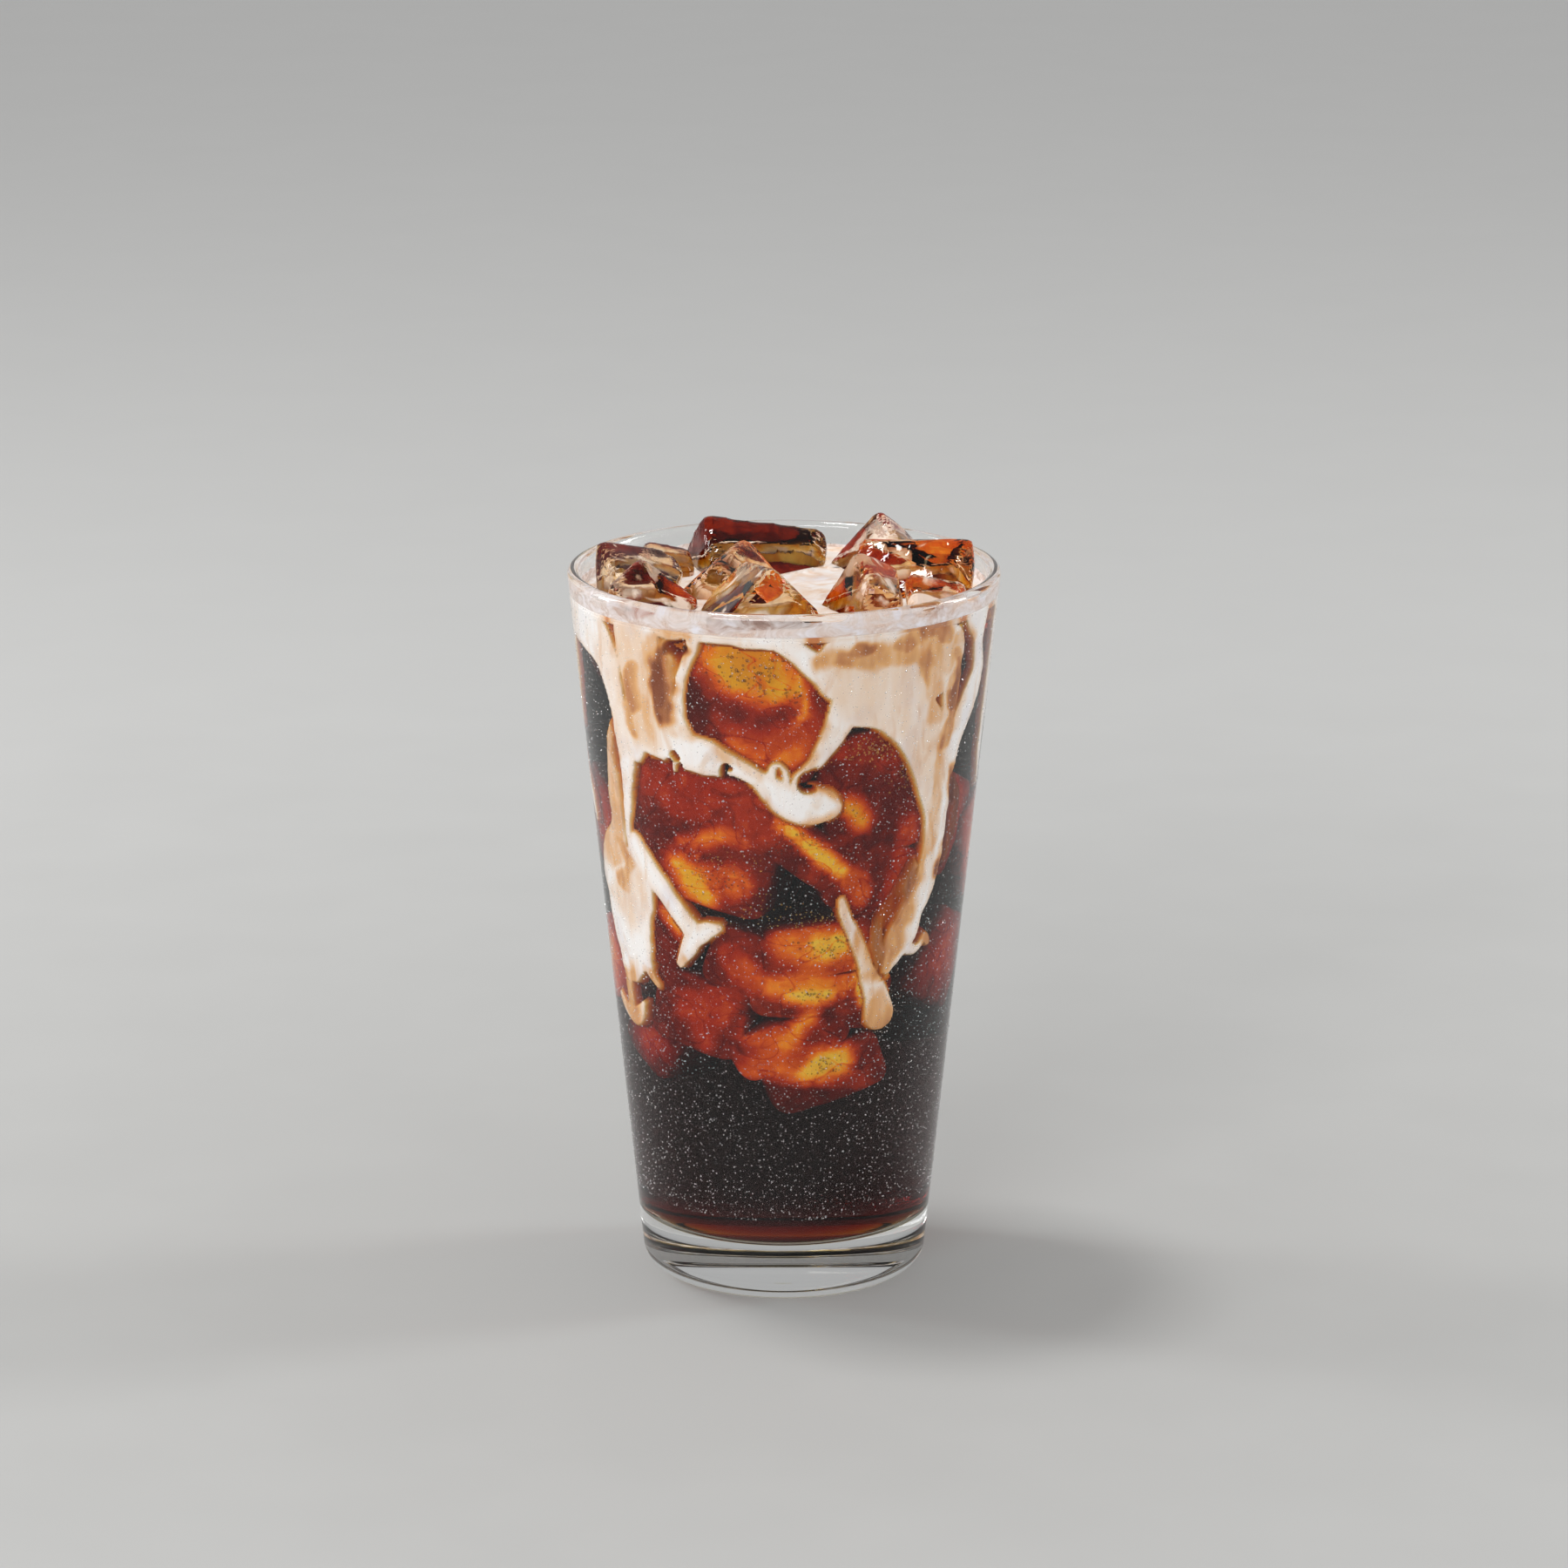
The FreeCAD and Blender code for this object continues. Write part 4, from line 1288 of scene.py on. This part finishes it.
def ring(sides, rounds):
    """A ring of outer radius 1 that lies flat."""
    bm = bmesh.new()
    bmesh.ops.create_circle(bm, segments=sides, radius=RING_TUBE)
    upright = Matrix.Rotation(math.pi / 2, 3, "X")
    bmesh.ops.rotate(bm, verts=bm.verts, cent=(0, 0, 0), matrix=upright)
    bmesh.ops.translate(bm, vec=(1 - RING_TUBE, 0, 0), verts=bm.verts)
    bmesh.ops.spin(bm, geom=list(bm.verts) + list(bm.edges), cent=(0, 0, 0), axis=(0, 0, 1),
                   angle=math.tau, steps=rounds, use_merge=True)
    bmesh.ops.recalc_face_normals(bm, faces=bm.faces)
    return bm


def bubble_finish(name, colour):
    finish = Finish(name)
    shade = finish.noise(1.5, detail=1.0)
    tone = finish.ramp(shade, (0.3, [0.6 * share for share in colour]), (0.7, colour))
    body = finish.node("BsdfPrincipled", Base_Color=tone, Roughness=0.2)
    return finish.done(body.outputs[0])


def make_bubbles():
    """Rings of air with painted edges: painted shade over lit ice, painted light over dark coffee,
    and painted shade in the cream.
    """
    rng = np.random.default_rng(11)
    kinds = (
        ("bubbles_painted_shade", BUBBLES, bubble_finish("bubble edge painted shade", linear(70, 28, 10))),
        ("bubbles_painted_light", LIT_BUBBLES, bubble_finish("bubble edge painted light", linear(232, 170, 84))),
        ("bubbles_in_cream_painted_shade", FACE_BUBBLES, bubble_finish("bubble in cream painted shade", linear(120, 90, 84))),
    )
    for name, groups, finish in kinds:
        spots = []
        for bearing, depth, across, down, count, smallest, largest in groups:
            for _ in range(count):
                along = bearing + rng.normal() * across * 0.5 / MM_A_DEGREE
                height = LEVEL - max(depth + rng.normal() * down * 0.5, 0.1)
                radius = size_between(rng, smallest, largest, 1.8)
                spots.append((*on_wall(along, height, inner_r(height) - radius * 0.3), radius))
        bubbles = scatter(name, ring(4, 10), spots, 1.0)
        bubbles.data.materials.append(finish)
        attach(bubbles, "root")


# ---------------------------------------------------------------- stage


def make_stage():
    """A pale floor, darker near the glass as a painted shade round it and lighter further off, and
    a plain white world.
    """
    finish = Finish("pale floor")
    grain = finish.level(finish.noise(40, detail=2.0), 0.3, 0.7, -0.01, 0.01)
    away = finish.node("VectorMath", Vector=finish.object_places())
    away.operation = "LENGTH"
    # Painted shade: the floor is darker close to the glass and lighter further off.
    share = finish.level(away.outputs["Value"], 100.0, 2600.0)
    colour = finish.ramp(finish.reckon("ADD", share, grain), (0.0, (0.47, 0.47, 0.46)),
                         (0.16, (0.58, 0.58, 0.57)), (1.0, (0.9, 0.9, 0.89)))
    body = finish.node("BsdfPrincipled", Base_Color=colour, Roughness=0.7,
                       Specular_IOR_Level=0.2)
    bm = bmesh.new()
    bmesh.ops.create_grid(bm, x_segments=1, y_segments=1, size=FLOOR_BREADTH / 2)
    panel = place_bmesh("floor", bm, False)
    panel.data.materials.append(finish.done(body.outputs[0]))

    world = bpy.data.worlds.new("studio")
    bpy.context.scene.world = world
    world.use_nodes = True
    glow = world.node_tree.nodes["Background"]
    glow.inputs["Color"].default_value = (1.0, 1.0, 1.0, 1)
    glow.inputs["Strength"].default_value = WORLD_STRENGTH


def make_lamps():
    for name, place, size, power in LAMPS:
        light = bpy.data.lights.new(name, "AREA")
        light.shape = "RECTANGLE"
        light.size, light.size_y = size
        light.energy = power
        lamp = bpy.data.objects.new(name, light)
        lamp.location = place
        way = Vector(LAMP_AIM) - Vector(place)
        lamp.rotation_euler = way.to_track_quat("-Z", "Y").to_euler()
        bpy.context.scene.collection.objects.link(lamp)


def make_camera():
    data = bpy.data.cameras.new("camera")
    data.sensor_width = 36.0
    data.lens = CAMERA_LENS
    data.clip_end = 50
    camera = bpy.data.objects.new("camera", data)
    camera.location = CAMERA_PLACE
    camera.rotation_euler = (math.radians(90 - CAMERA_DIP), 0, 0)
    bpy.context.scene.collection.objects.link(camera)
    bpy.context.scene.camera = camera


def set_light_paths():
    """How colours are shown, and how far light is followed."""
    scene = bpy.context.scene
    scene.view_settings.view_transform = "Standard"
    scene.cycles.use_denoising = True
    scene.cycles.max_bounces = 24
    scene.cycles.transmission_bounces = 24
    scene.cycles.transparent_max_bounces = 48
    scene.cycles.diffuse_bounces = 4
    scene.cycles.glossy_bounces = 6
    scene.cycles.caustics_reflective = False
    scene.cycles.caustics_refractive = False
    scene.cycles.sample_clamp_indirect = 4.0


def finish_cubes(standing):
    """Gives each standing cube one finish in the air and one in the drink."""
    for name, cube in zip(CUBES, standing):
        cube.data.materials.clear()
        warm, milky, _ = TINTS[name]
        cube.data.materials.append(ice_finish(name + " in the air", False, warm, milky))
        cube.data.materials.append(ice_finish(name + " in the drink", True, warm * 0.5, 0.0))
        wet = [int(face.center.z / MM < LEVEL - 1.0) for face in cube.data.polygons]
        cube.data.polygons.foreach_set("material_index", wet)
        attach(cube, "root")
        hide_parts(name)


def make_drink(tool, sunken):
    """The coffee and the cream, hollowed by a tool for the cubes that stand in them."""
    make_coffee(tool)
    make_cream_top(tool)
    hollows = bmesh.new()
    for piece in [tool] + sunken:
        hollows.from_mesh(piece.data)
    bmesh.ops.scale(hollows, vec=(1 / MM, 1 / MM, 1 / MM), verts=hollows.verts)
    make_curtain("cream_streams", -90, 90, CURTAIN_GRAIN, hollows)
    make_curtain("cream_streams_behind", 90, 270, BEHIND_GRAIN, hollows)
    hollows.free()


def main():
    make_glass()
    standing = [standing_cube(name, index) for index, name in enumerate(CUBES)]
    sunken = make_sunken()
    tool = drawn_in(joined("hollow tool", standing), CUT_IN)
    make_drink(tool, sunken)
    drop(tool)
    make_clouds(standing, sunken)
    finish_cubes(standing)
    make_milk_film()
    make_bubbles()
    make_dew()
    make_stage()
    make_lamps()
    make_camera()
    set_light_paths()


main()
